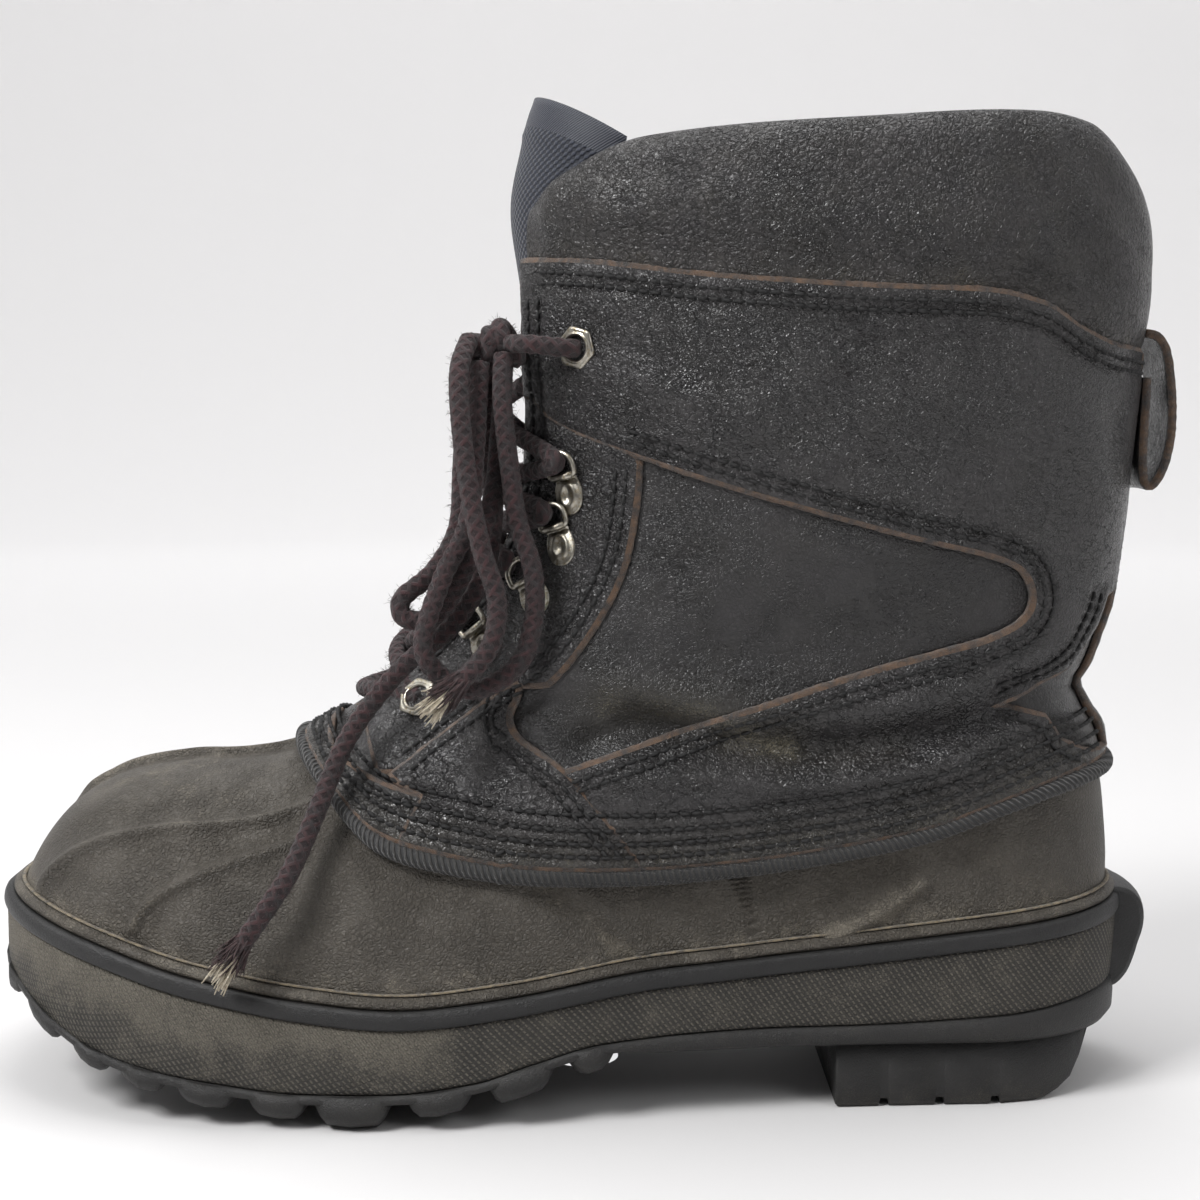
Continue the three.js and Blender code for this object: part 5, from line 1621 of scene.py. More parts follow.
class Patch:
    """A flat net of triangles over part of the last, cut along curves."""

    ROUND = 75.0  # mm of net for each radian
    RISE = 300.0  # mm of net for all levels
    FOOT = 0.15  # the lowest level
    CLOSEST = 0.55  # a fill corner's least distance from a cut, in spacings
    BORDER = 180  # corners along an upright border

    def __init__(
        self,
        turn: tuple[float, float],
        curves: Sequence[tuple[np.ndarray, np.ndarray]],
        keep: Callable[[np.ndarray], np.ndarray],
        spacing: float,
    ) -> None:
        """Cuts the net.

        Args:
            turn: the angles that it lies between.
            curves: angles and levels along each cut.
            keep: tells which points of the form are kept.
            spacing: the size of its triangles.
        """
        self.turn = turn
        lines, edges = self._cuts(curves)
        step_up = spacing * math.sqrt(3) / 2
        fill = []
        for row, v in enumerate(np.arange(self.FOOT * self.RISE, self.RISE, step_up)):
            start = turn[0] * self.ROUND + (spacing / 2 if row % 2 else 0)
            across = np.arange(start, turn[1] * self.ROUND, spacing)
            fill.append(np.column_stack([across, np.full(len(across), v)]))
        fill_points = np.vstack(fill)
        fill_points = fill_points[keep(self._place(fill_points))]
        flat_to_space = np.eye(2, 3)
        free = nearest(fill_points @ flat_to_space, lines @ flat_to_space) > self.CLOSEST * spacing
        points = np.vstack([lines, fill_points[free]])
        made = delaunay_2d_cdt([Vector(p) for p in points], edges, [], 0, 1e-4)
        flat = np.array([tuple(p) for p in made[0]])
        triangles = np.array(made[2])
        centre = flat[triangles].mean(1)
        low, high = turn[0] * self.ROUND, turn[1] * self.ROUND
        good = keep(self._place(centre)) & (centre[:, 0] > low) & (centre[:, 0] < high)
        triangles = triangles[good]
        used = np.unique(triangles)
        renumber = np.full(len(flat), -1)
        renumber[used] = np.arange(len(used))
        self.triangles = renumber[triangles]
        self.angle = flat[used, 0] / self.ROUND
        self.level = flat[used, 1] / self.RISE

    def _place(self, flat: np.ndarray) -> np.ndarray:
        """Points of the form under points of the net."""
        return LAST.ring(flat[:, 0] / self.ROUND, flat[:, 1] / self.RISE)

    def _cuts(self, curves: Sequence[tuple[np.ndarray, np.ndarray]]) -> tuple[np.ndarray, list]:
        """Points and edges of every cut and of the net's two upright borders."""
        rise = np.linspace(self.FOOT, 1.0, self.BORDER)
        borders = [(np.full(self.BORDER, end), rise) for end in self.turn]
        coords, edges, count = [], [], 0
        for angle, level in [*curves, *borders]:
            within = (angle >= self.turn[0] - 1e-6) & (angle <= self.turn[1] + 1e-6)
            both = np.flatnonzero(within[:-1] & within[1:])
            edges += [(count + int(i), count + int(i) + 1) for i in both]
            coords.append(np.column_stack([angle * self.ROUND, level * self.RISE]))
            count += len(angle)
        return np.vstack(coords), edges

    def rim(self) -> np.ndarray:
        """Its border edges as pairs of corners, without those on its upright borders."""
        t = self.triangles
        edges = np.vstack([t[:, [0, 1]], t[:, [1, 2]], t[:, [2, 0]]])
        known = {(int(a), int(b)) for a, b in edges}
        border = np.minimum(abs(self.angle - self.turn[0]), abs(self.angle - self.turn[1])) < 1e-5
        alone = sorted(e for e in known if (e[1], e[0]) not in known)
        return np.array([(a, b) for a, b in alone if not (border[a] and border[b])])


def side_curve(points: np.ndarray, side: Side, step: float = 1.6) -> tuple[np.ndarray, np.ndarray]:
    """Angles and levels along a line of the side view."""
    even = evenly(points, step)
    return LAST.on_side(even[:, 0], even[:, 1], side)


def line_curve(line: Line, start: float, end: float, count: int = 200) -> tuple[np.ndarray, np.ndarray]:
    """Angles and levels along a height line between two angles."""
    angle = np.linspace(start, end, count)
    return angle, LAST.level_at(angle, line)


def width_curve(
    low: float, high: float, half: Line, side: Side, back: bool = False, count: int = 90
) -> tuple[np.ndarray, np.ndarray]:
    """Angles and levels along a line at a distance from the boot's middle."""
    z = np.linspace(low, high, count)
    angle = LAST.at_width(z, half(z), side, back)
    return angle, LAST.level_at(angle, constant(z))


@dataclass
class Leather:
    """The leather shaft: its lined wall, its overlays and all of its stitching."""

    finishes: Finishes
    spacing: float = 2.0
    wall_spacing: float = 2.6
    gap: float = 0.4
    under_rim: float = 0.2
    back_x: float = 100.0
    back_turn: float = 0.8
    back_heights: tuple[float, float] = (70.0, 205.0)
    back_rise: float = 0.9
    back_slant: float = 1.4
    edge_drop: float = 0.35
    channel: float = 0.75
    pitch: float = 3.1
    thread: tuple[float, ...] = (0.34, 0.5, 0.56, 0.5, 0.34)
    seams: list[tuple[np.ndarray, np.ndarray]] = field(default_factory=list)
    sewn: np.ndarray = field(default_factory=lambda: np.zeros((0, 3)))

    def low_line(self, x: np.ndarray) -> np.ndarray:
        """The leather's raw lower edge."""
        return ROPE_LINE(x) + ROPE / 2 + 0.6

    def high_line(self, x: np.ndarray) -> np.ndarray:
        """The leather's upper edge, just under the collar's."""
        return COLLAR_LOW(x) - self.under_rim

    def in_wall(self, points: np.ndarray, margin: float = 0.0) -> np.ndarray:
        """Which points of the form carry leather."""
        x, y, z = points.T
        good = (z > self.low_line(x)) & (z < self.high_line(x))
        return good & ~((z > THROAT_FOOT) & (x < 40) & (np.abs(y) < THROAT_HALF(z) + margin))

    def rise_at(self, points: np.ndarray) -> np.ndarray:
        """How far the overlay at each point stands over the lowest overlay."""
        rise = np.zeros(len(points))
        for panel in (FACING, QUARTER, VAMP, FRONT_BAND):
            rise[inside(points[:, [0, 2]], panel.outline)] = panel.rise
        return rise

    def common_curves(self, side: Side, margin: float = 0.0) -> list[tuple[np.ndarray, np.ndarray]]:
        """Cuts that every panel of a side shares."""
        throat = width_curve(THROAT_FOOT + 0.05, 232, lambda z: THROAT_HALF(z) + margin, side)
        foot_angle = lerp(math.pi, throat[0][0], np.linspace(0, 1, 6))
        foot_level = LAST.level_at(foot_angle, constant(THROAT_FOOT))
        return [
            line_curve(self.low_line, *side.turn), line_curve(self.high_line, *side.turn), throat,
            (foot_angle, foot_level),
        ]

    def build(self) -> None:
        """Makes the wall, the overlays and the stitches."""
        self.plan_seams()
        self.wall()
        for side in Side:
            for panel in (QUARTER, FACING, VAMP):
                name = f"{panel.name}_{side.name.lower()}"
                self.overlay(panel, name, [side], side.turn)
        self.overlay(FRONT_BAND, FRONT_BAND.name, list(Side), (math.pi / 2, 1.5 * math.pi))
        self.backstay()
        self.stitches()

    def wall(self) -> None:
        """The shaft's wall, leather outside and felt inside."""
        curves = [curve for side in Side for curve in self.common_curves(side)]
        patch = Patch((0.0, 2 * math.pi), curves, self.in_wall, self.wall_spacing)
        looks = [self.finishes.window, self.finishes.raw, self.finishes.felt]
        self.sheet_of(patch, "shaft_wall", "upper", LEATHER, -LINING, looks, 0.4)

    def overlay(
        self, panel: Panel, node: str, sides: Sequence[Side], turn: tuple[float, float]
    ) -> None:
        """Makes one overlay.

        Args:
            panel: the overlay.
            node: the solid that it stands for.
            sides: the sides of the boot on which it lies.
            turn: the angles that it lies between.
        """
        stay = BACKSTAY_HALF + SEAM_GAP
        curves = []
        for side in sides:
            curves += self.common_curves(side, self.gap)
            curves.append(side_curve(joined(panel.outline, panel.outline[:1]), side))
            if panel is QUARTER:
                curves.append(width_curve(*self.back_heights, constant(stay), side, True))

        def keep(points: np.ndarray) -> np.ndarray:
            """Which points of the form it covers."""
            good = self.in_wall(points, self.gap) & inside(points[:, [0, 2]], panel.outline)
            return good & ((np.abs(points[:, 1]) > stay) | (points[:, 0] < self.back_x))

        patch = Patch(turn, curves, keep, self.spacing)
        face = OVERLAY_FACE + panel.rise
        self.sheet_of(patch, node + "_leather", node, face, OVER_SHELL, self.looks(), panel.slant)

    def looks(self) -> list[bpy.types.Material]:
        """What an overlay is made of: its face and its cut edge."""
        return [self.finishes.leather, self.finishes.raw]

    def backstay(self) -> None:
        """The strip up the middle of the back."""
        curves = []
        for side in Side:
            angle, level = width_curve(*self.back_heights, constant(BACKSTAY_HALF), side, True)
            curves.append((angle - (2 * math.pi if side is Side.OUTER else 0), level))
        turn = (-self.back_turn, self.back_turn)
        curves += [line_curve(line, *turn, 60) for line in (self.low_line, self.high_line)]

        def keep(points: np.ndarray) -> np.ndarray:
            """Which points of the form it covers."""
            across, along = np.abs(points[:, 1]), points[:, 0]
            return self.in_wall(points) & (across < BACKSTAY_HALF) & (along > self.back_x)

        patch = Patch(turn, curves, keep, self.spacing)
        face = OVERLAY_FACE + self.back_rise
        self.sheet_of(
            patch, "backstay_leather", "backstay", face, OVER_SHELL, self.looks(), self.back_slant
        )

    def sheet_of(
        self, patch: Patch, name: str, node: str, outer: float, inner: float,
        looks: list[bpy.types.Material], slant: float,
    ) -> None:
        """Gives a net its thickness and a crumbly cut edge, and hands the piece over.

        Args:
            patch: the net.
            name: the piece's name.
            node: the solid that it stands for.
            outer: lift of its face.
            inner: lift of its back.
            looks: materials of the face, the edge and the back.
            slant: how far the edge runs out past the face.
        """
        base = LAST.ring(patch.angle, patch.level)
        normal = LAST.normal(patch.angle, patch.level)
        push = SHAFT_FOLDS.height(base)
        rim = patch.rim()
        away = nearest(base, base[rim[:, 0]])
        lift = outer - swell(away, self.edge_drop, 0.9) + swell(away - 2.4, 0.2, 1.5)
        if outer > LEATHER + 0.5:
            lift -= self.channels(base)
        face = base + normal * (push + lift)[:, None]
        back = base + normal * (push + inner)[:, None]
        ahead = np.full(len(base), -1)
        behind = np.full(len(base), -1)
        ahead[rim[:, 0]] = rim[:, 1]
        behind[rim[:, 1]] = rim[:, 0]
        here = np.unique(rim)
        after = np.where(ahead[here] < 0, here, ahead[here])
        before = np.where(behind[here] < 0, here, behind[here])
        out = np.cross(base[after] - base[before], normal[here])
        out /= np.linalg.norm(out, axis=1)[:, None] + 1e-9
        noise = np.random.default_rng(7)
        rings = []
        for share, drop in ((0.3, 0.25), (0.6, 0.5), (0.92, 0.85)):
            ragged = noise.normal(0, 0.09, len(here))
            height = push[here] + outer - self.edge_drop - drop + ragged
            height = np.maximum(height, push[here] + inner + 0.1)
            reach = slant * (share + noise.normal(0, 0.05, len(here)))
            rings.append(base[here] + normal[here] * height[:, None] + out * reach[:, None])
        back[here] += out * (slant * (1 + noise.normal(0, 0.05, len(here))))[:, None]
        data = MeshData()
        data.add(face, patch.triangles)
        data.add(back, patch.triangles[:, ::-1], slot=2 if len(looks) > 2 else 0)
        number = np.full(len(base), -1)
        number[here] = np.arange(len(here))
        a, b = rim[:, 0], rim[:, 1]
        low_a, low_b = a, b
        for ring in rings:
            start = data.add(ring)
            top_a, top_b = low_a, low_b
            low_a, low_b = start + number[a], start + number[b]
            self.strip_between(data, top_a, top_b, low_a, low_b)
        self.strip_between(data, low_a, low_b, len(base) + a, len(base) + b)
        piece = data.build(name, looks)
        paint_dust(piece, self.dust)
        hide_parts(node)

    @staticmethod
    def strip_between(
        data: MeshData, a: np.ndarray, b: np.ndarray, c: np.ndarray, d: np.ndarray
    ) -> None:
        """Adds the quads between two rows of corners that are in the mesh already."""
        data.faces.append(np.column_stack([b, a, c, d]))
        data.slots.append(np.ones(len(a), int))

    def channels(self, points: np.ndarray) -> np.ndarray:
        """How deep the stitched channels are at points of the form."""
        return swell(nearest(points, self.sewn), self.channel, 1.0)

    def dust(self, points: np.ndarray) -> np.ndarray:
        """Dust in the deep fold over the ankle and along the lower edge."""
        amount = 0.5 * near_line(points, [(8, 108), (24, 108), (42, 104), (54, 100)], 7.5)
        amount += 0.3 * near_line(points, [(40, 98), (62, 95), (86, 97)], 3.5)
        above = points[:, 2] - ROPE_LINE(points[:, 0])
        return amount + 0.45 * smooth(20, 3, above)

    def plan_seams(self) -> None:
        """Lays out every row of stitches as angles and levels."""
        window = WINDOW[WINDOW[:, 1] < 182]
        front = joined(FACING_EDGE[2:], VAMP_EDGE[2:])
        rows = [(window[2:], 2.4), (window[2:], 5.0), (front, -2.4), (front, -5.0)]
        rows += [(FACING_SEAM, -2.2), (FACING_SEAM, 2.4), (BAND_TOP[2:], -2.4)]
        rows += [(catmull(QUARTER_BACK[1:6], 5), -2.6), (catmull(QUARTER_BACK[1:6], 5), -5.2)]
        rows.append((catmull(QUARTER_BACK[6:10], 5), -2.6))
        for side in Side:
            for line, aside in rows:
                angle, level = side_curve(moved_aside(line, aside), side, 1.5)
                self.row(angle, level)
            for gap in (2.8, 5.6):
                start, end = self.under_collar(side, gap)
                self.row(*line_curve(lambda x: COLLAR_LOW(x) - gap, start, end, 160))
                self.row(*width_curve(112, 216, lambda z: THROAT_HALF(z) + gap, side, count=60))
            self.row(*width_curve(110, 198, constant(6.2), side, True, 50))
            start, end = (0.26, math.pi) if side is Side.INNER else (math.pi, 2 * math.pi - 0.26)
            for rise in (2.6, 5.8, 9.2, 13.0):
                self.row(*line_curve(lambda x: self.low_line(x) + rise, start, end, 260))
        self.sewn = np.vstack([evenly(LAST.ring(angle, level), 0.7) for angle, level in self.seams])

    def row(self, angle: np.ndarray, level: np.ndarray) -> None:
        """Keeps a row of stitches where there is leather under it."""
        good = self.in_wall(LAST.ring(angle, level), 1.6)
        if good.sum() > 4:
            self.seams.append((angle[good], level[good]))

    def under_collar(self, side: Side, gap: float) -> tuple[float, float]:
        """The angles between which a row under the collar runs."""
        z = np.array([221.0 - gap])
        front = LAST.at_width(z, THROAT_HALF(z) + 5.8, side)
        back = LAST.at_width(np.array([200.0]), np.array([10.5]), side, True)
        return float(front[0]), float(back[0])

    def stitches(self) -> None:
        """Every stitch as a short sunken length of thread."""
        pitch = self.pitch
        spans = pitch * np.array([0.08, 0.2, 0.5, 0.8, 0.92])
        sink = np.array([-1.0, -0.05, 0.3, -0.05, -1.0])
        paths = []
        for angle, level in self.seams:
            base = LAST.ring(angle, level)
            normal = LAST.normal(angle, level)
            lift = OVERLAY_FACE - 0.3 + SHAFT_FOLDS.height(base) + self.rise_at(base)
            line = base + normal * lift[:, None]
            along = distances(line)
            starts = np.arange(0.4, along[-1] - pitch, pitch)
            at = starts[:, None] + spans
            gaps = np.interp(at[:, 2], along[:-1], np.diff(along))
            at = at[gaps < 9]
            points = np.stack([np.interp(at, along, line[:, k]) for k in range(3)], -1)
            out = np.stack([np.interp(at, along, normal[:, k]) for k in range(3)], -1)
            paths.append(points + out * sink[:, None])
        data = MeshData()
        tubes(data, np.vstack(paths), np.array(self.thread), 6)
        piece = data.build("stitches", [self.finishes.thread])


@dataclass
class Collar:
    """The padded leather collar around the top, leather outside and felt inside."""

    finishes: Finishes
    section: Rows = (
        (-0.03, -4), (-0.03, 1.0), (0.0, 2.6), (0.06, 3.9), (0.3, 5.0), (0.6, 4.9), (0.84, 3.8),
        (0.96, 1.6), (1.0, -0.6), (0.98, -2.8), (0.85, -4.8), (0.4, -5.6),
    )
    stations: int = 240

    def folds(self) -> Relief:
        """Soft dents of the padding."""
        return Relief([
            Fold(((20, 252), (30, 240), (34, 226)), -0.9, 5.0),
            Fold(((60, 250), (72, 236), (76, 222)), -0.8, 6.0),
            Fold(((96, 255), (104, 240), (112, 224)), 0.8, 6.0),
            Fold(((110, 250), (122, 236), (132, 222)), -1.1, 5.0),
            Fold(((0, 240), (14, 236), (30, 235)), 0.9, 6.0),
            Fold(((126, 250), (140, 236), (148, 222)), -0.8, 4.0),
            Fold(((40, 232), (80, 231), (116, 230)), 0.7, 7.0),
            Fold(((-6, 230), (30, 224), (80, 220), (120, 216)), -0.8, 4.0),
        ])

    def build(self) -> None:
        """Makes the collar as a closed padded form."""
        z = np.array([235.0])
        end = float(LAST.at_width(z, THROAT_HALF(z) + 0.8, Side.INNER)[0])
        profile = catmull(np.array(self.section, float), 3, closed=True)
        share = np.linspace(-1, 1, self.stations)
        angles = end * share
        thin = lerp(1.0, 0.5, smooth(0.93, 1.0, np.abs(share)))
        relief = self.folds()
        rows = []
        for rise, out in profile:
            level = LAST.level_at(angles, lambda x: lerp(COLLAR_LOW(x) + 0.2, COLLAR_TOP(x) - 0.2, rise))
            base = LAST.ring(angles, level)
            push = relief.height(base) if out > 0 else 0
            rows.append(base + LAST.normal(angles, level) * (out * thin + push)[:, None])
        grid = np.stack(rows, 1)
        lined = (profile[:, 1] < -2.4).astype(int)
        data = MeshData()
        data.loft(grid, slot=np.tile(lined, self.stations - 1))
        piece = data.build("padded_collar", [self.finishes.collar, self.finishes.felt])
        paint_dust(piece, lambda p: 0.3 * smooth(9, 0, p[:, 2] - COLLAR_LOW(p[:, 0])))
        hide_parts("collar")


@dataclass
class Tongue:
    """The padded tongue behind the throat, bound with twill along its top."""

    finishes: Finishes
    half: Curve = field(default_factory=lambda: Curve([
        (90, 17), (110, 20), (140, 24), (190, 29), (215, 33), (240, 35), (275, 35),
    ]))
    depth: Curve = field(default_factory=lambda: Curve([
        (90, 3.4), (140, 3.6), (190, 4.5), (215, 6.6), (240, 6.8), (275, 7),
    ]))
    lean: Curve = field(default_factory=lambda: Curve([(90, 0), (195, 0), (220, 4.5), (245, 8), (275, 9)]))
    top: float = 270.0
    foot: float = 93.0
    thick: float = 3.0
    bound: float = 0.945

    def build(self) -> None:
        """Makes the tongue and its binding."""
        rises, across = 90, 40
        share = np.linspace(-1, 1, across)[None, :]
        rise = np.linspace(0, 1, rises)[:, None]
        z = lerp(self.foot + 5 * share**2, self.top - 13 * share**2, rise)
        edge = LAST.at_width(z, self.half(z), Side.INNER)
        angle = math.pi - (math.pi - edge) * share
        level = LAST.level_at(angle, constant(z))
        round_edge = np.sqrt(np.clip(1 - share**6, 0.03, 1))
        near_top = np.sqrt(np.clip(1 - smooth(0.96, 1.0, rise) * 0.85, 0.1, 1))
        quilt = 1 + 0.12 * np.sin(z * 0.16) * (1 - share**2)
        bead = 1 + swell(rise - self.bound, 0.25, 0.008)
        half_thick = self.thick / 2 * round_edge * near_top * quilt * bead
        middle = -self.depth(z) - self.thick / 2 + self.lean(z) * (1 - share**2)
        outer = lifted(angle, level, middle + half_thick)
        inner = lifted(angle, level, middle - half_thick)
        grid = np.concatenate([outer, inner[:, ::-1]], 1)
        flat = np.stack(np.broadcast_arrays(share * self.half(z), z), -1)
        uv = np.concatenate([flat, flat[:, ::-1]], 1)
        slots = np.repeat(rise[:-1, 0] > self.bound, 2 * across).astype(int)
        data = MeshData()
        data.loft(grid, slot=slots, uv=uv)
        piece = data.build("tongue_pad", [self.finishes.canvas, self.finishes.twill])
        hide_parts("tongue")


@dataclass
class PullLoop:
    """The folded leather strap at the back, with its thick cut edges."""

    finishes: Finishes
    route: Rows = (
        (156.4, 206.0), (159.6, 205.0), (162.2, 200.5), (163.6, 191.5), (164.0, 180.5),
        (162.4, 170.6), (159.4, 164.8), (157.0, 165.0), (156.3, 170), (156.4, 180), (157.0, 194),
    )
    half: float = 11.0
    thick: float = 2.3

    def build(self) -> None:
        """Makes the strap, bent along its route."""
        path = evenly(catmull(np.array(self.route, float), 8), 1.0)
        run = np.gradient(path, axis=0)
        run /= np.linalg.norm(run, axis=1)[:, None]
        side = np.stack([run[:, 1], -run[:, 0]], 1)
        ys = np.linspace(-self.half, self.half, 15)
        noise = np.random.default_rng(5)
        rows = []
        for (x, z), (side_x, side_z), wave in zip(path, side, np.sin(np.arange(len(path)) * 0.25)):
            bend = 0.5 * (1 - (ys / self.half) ** 2) * wave
            ragged = ys + np.where(abs(ys) == self.half, noise.uniform(-0.3, 0.3), 0)
            sides = []
            for sign in (-1, 1):
                away = sign * self.thick / 2 - bend
                face = np.column_stack([x + side_x * away, ragged, z + side_z * away])
                sides.append(face if sign < 0 else face[::-1])
            rows.append(np.vstack(sides))
        slots = np.zeros(2 * len(ys), int)
        slots[[len(ys) - 1, -1]] = 1
        data = MeshData()
        data.loft(np.array(rows), slot=np.tile(slots, len(path) - 1))
        piece = data.build("pull_strap", [self.finishes.leather, self.finishes.raw])
        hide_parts("pull_loop")


@dataclass
class Hardware:
    """Hexagonal eyelets and the riveted clips with their wire rings."""

    finishes: Finishes
    eyelets: tuple[tuple[str, float, float], ...] = (("top", 4, 201), ("bottom", -40, 106))
    rings: tuple[tuple[float, float, float], ...] = (
        (-21, 121, 0.7), (-8, 134, 0.6), (-1, 148, 0.35), (1.5, 162, 0.25),
    )
    across: float = 12.0
    hole: float = 3.2

    def build(self) -> None:
        """Makes all of the metal."""
        for side in Side:
            tag = side.name.lower()
            for name, x, z in self.eyelets:
                rise = 0.5 if name == "top" else 0.0
                self.eyelet(f"eyelet_{name}_{tag}", *self.frame_at(x, z, side, 0.3, rise))
            for index, (x, z, lean) in enumerate(self.rings):
                origin, axes = self.frame_at(x, z, side, lean)
                self.clip(f"lace_ring_{index + 1}_{tag}", origin, axes)

    def frame_at(
        self, x: float, z: float, side: Side, lean: float, rise: float = 0.0
    ) -> tuple[np.ndarray, np.ndarray]:
        """The place and axes of a piece lying on the leather.

        Args:
            x: its place in the side view.
            z: its height.
            side: the boot's side.
            lean: how far it is turned.
            rise: how far its overlay stands over the lowest one.

        Returns:
            Its origin, and a matrix whose columns are its axes.
        """
        angle, level = LAST.on_side(np.array([x]), np.array([z]), side)
        out = LAST.normal(angle, level)[0]
        origin = shaft_point(angle, level, OVERLAY_FACE + rise - 0.1)[0]
        up = np.array([-math.sin(lean), 0, math.cos(lean)])
        up -= out * (up @ out)
        up /= np.linalg.norm(up)
        return origin, np.column_stack([np.cross(up, out), up, out])

    def finish(self, data: MeshData, node: str, origin: np.ndarray, axes: np.ndarray) -> None:
        """Moves a flat drawn piece to its place and hands it over."""
        data.points = [points @ axes.T + origin for points in data.points]
        # The second material is the black of the painted shade in the eyelets' holes.
        piece = data.build(node + "_metal", [self.finishes.metal, self.finishes.black])
        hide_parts(node)

    def eyelet(self, node: str, origin: np.ndarray, axes: np.ndarray) -> None:
        """A hexagonal washer with a rolled rim around its hole, with a black disc inside as painted shade."""
        turn = around(48)
        half, sixth = self.across / 2, math.pi / 6
        hexagon = half * math.cos(sixth) / np.cos((turn + sixth) % (math.pi / 3) - sixth)
        hexagon = np.minimum(hexagon, half * 0.97)
        hole, wide = self.hole, self.hole + 0.8
        rows = [(hexagon * s, h) for s, h in ((1.0, 0.0), (1.0, 0.55), (0.95, 0.9), (0.84, 1.0), (0.74, 0.8))]
        rows += [(wide, 1.0), (hole + 0.4, 1.15), (hole, 0.7), (hole, -2.2), (wide, -2.2), (wide, 0)]
        data = MeshData()
        data.loft(turned(turn, rows), closed=True)
        # Painted shade: a black disc set in the hole stands for its dark inside.
        disc = [(0.1, -0.6), (hole + 0.2, -0.6), (hole + 0.2, -1.0), (0.1, -1.0)]
        data.loft(turned(turn, disc), slot=1)
        self.finish(data, node, origin, axes)

    def clip(self, node: str, origin: np.ndarray, axes: np.ndarray) -> None:
        """A teardrop plate with a dished rivet, folded over at its top to hold a wire ring."""
        turn = around(40)
        radius = 4.6 + 1.3 * np.clip(np.sin(turn), 0, 1) ** 2
        outline = np.column_stack([radius * np.cos(turn) * 0.92, radius * np.sin(turn) * 1.1])
        rows = [
            np.column_stack([outline * share, np.full(40, height)])
            for share, height in (
                (0.97, 0.0), (1.0, 0.35), (0.97, 0.65), (0.9, 0.75), (0.66, 0.7), (0.58, 1.1), (0.5, 1.3),
                (0.4, 1.15), (0.28, 0.6), (0.02, 0.5),
            )
        ]
        data = MeshData()
        data.loft(np.stack(rows))
        fold = [
            (3.4, 3.0, 0.4), (3.3, 4.8, 0.8), (3.1, 5.9, 1.7), (3.0, 6.1, 2.6), (3.0, 5.4, 3.3),
            (3.0, 4.4, 3.1),
        ]
        data.loft(np.array([
            [(-x, y, z), (x, y, z), (x, y - 0.25, z - 0.55), (-x, y - 0.25, z - 0.55)] for x, y, z in fold
        ]))
        wire = catmull(np.array([
            (0, 5.2, 2.1), (-3.0, 5.2, 2.1), (-3.9, 6.2, 2.3), (-3.6, 9.2, 2.9), (-1.8, 11.0, 3.2),
            (0, 11.4, 3.3), (1.8, 11.0, 3.2), (3.6, 9.2, 2.9), (3.9, 6.2, 2.3), (3.0, 5.2, 2.1),
            (0.1, 5.2, 2.1),
        ], float), 5)
        tubes(data, wire, 0.8, 10)
        self.finish(data, node, origin, axes)


def braid(turn: np.ndarray, along: np.ndarray) -> np.ndarray:
    """Lumps of a round braid by turn and distance along it."""
    wave = 2 * math.pi * along / BRAID_PITCH
    left = np.sin(wave + BRAID_STRANDS / 2 * turn)
    right = np.sin(wave - BRAID_STRANDS / 2 * turn)
    return 0.15 * np.maximum(left, right) - 0.05


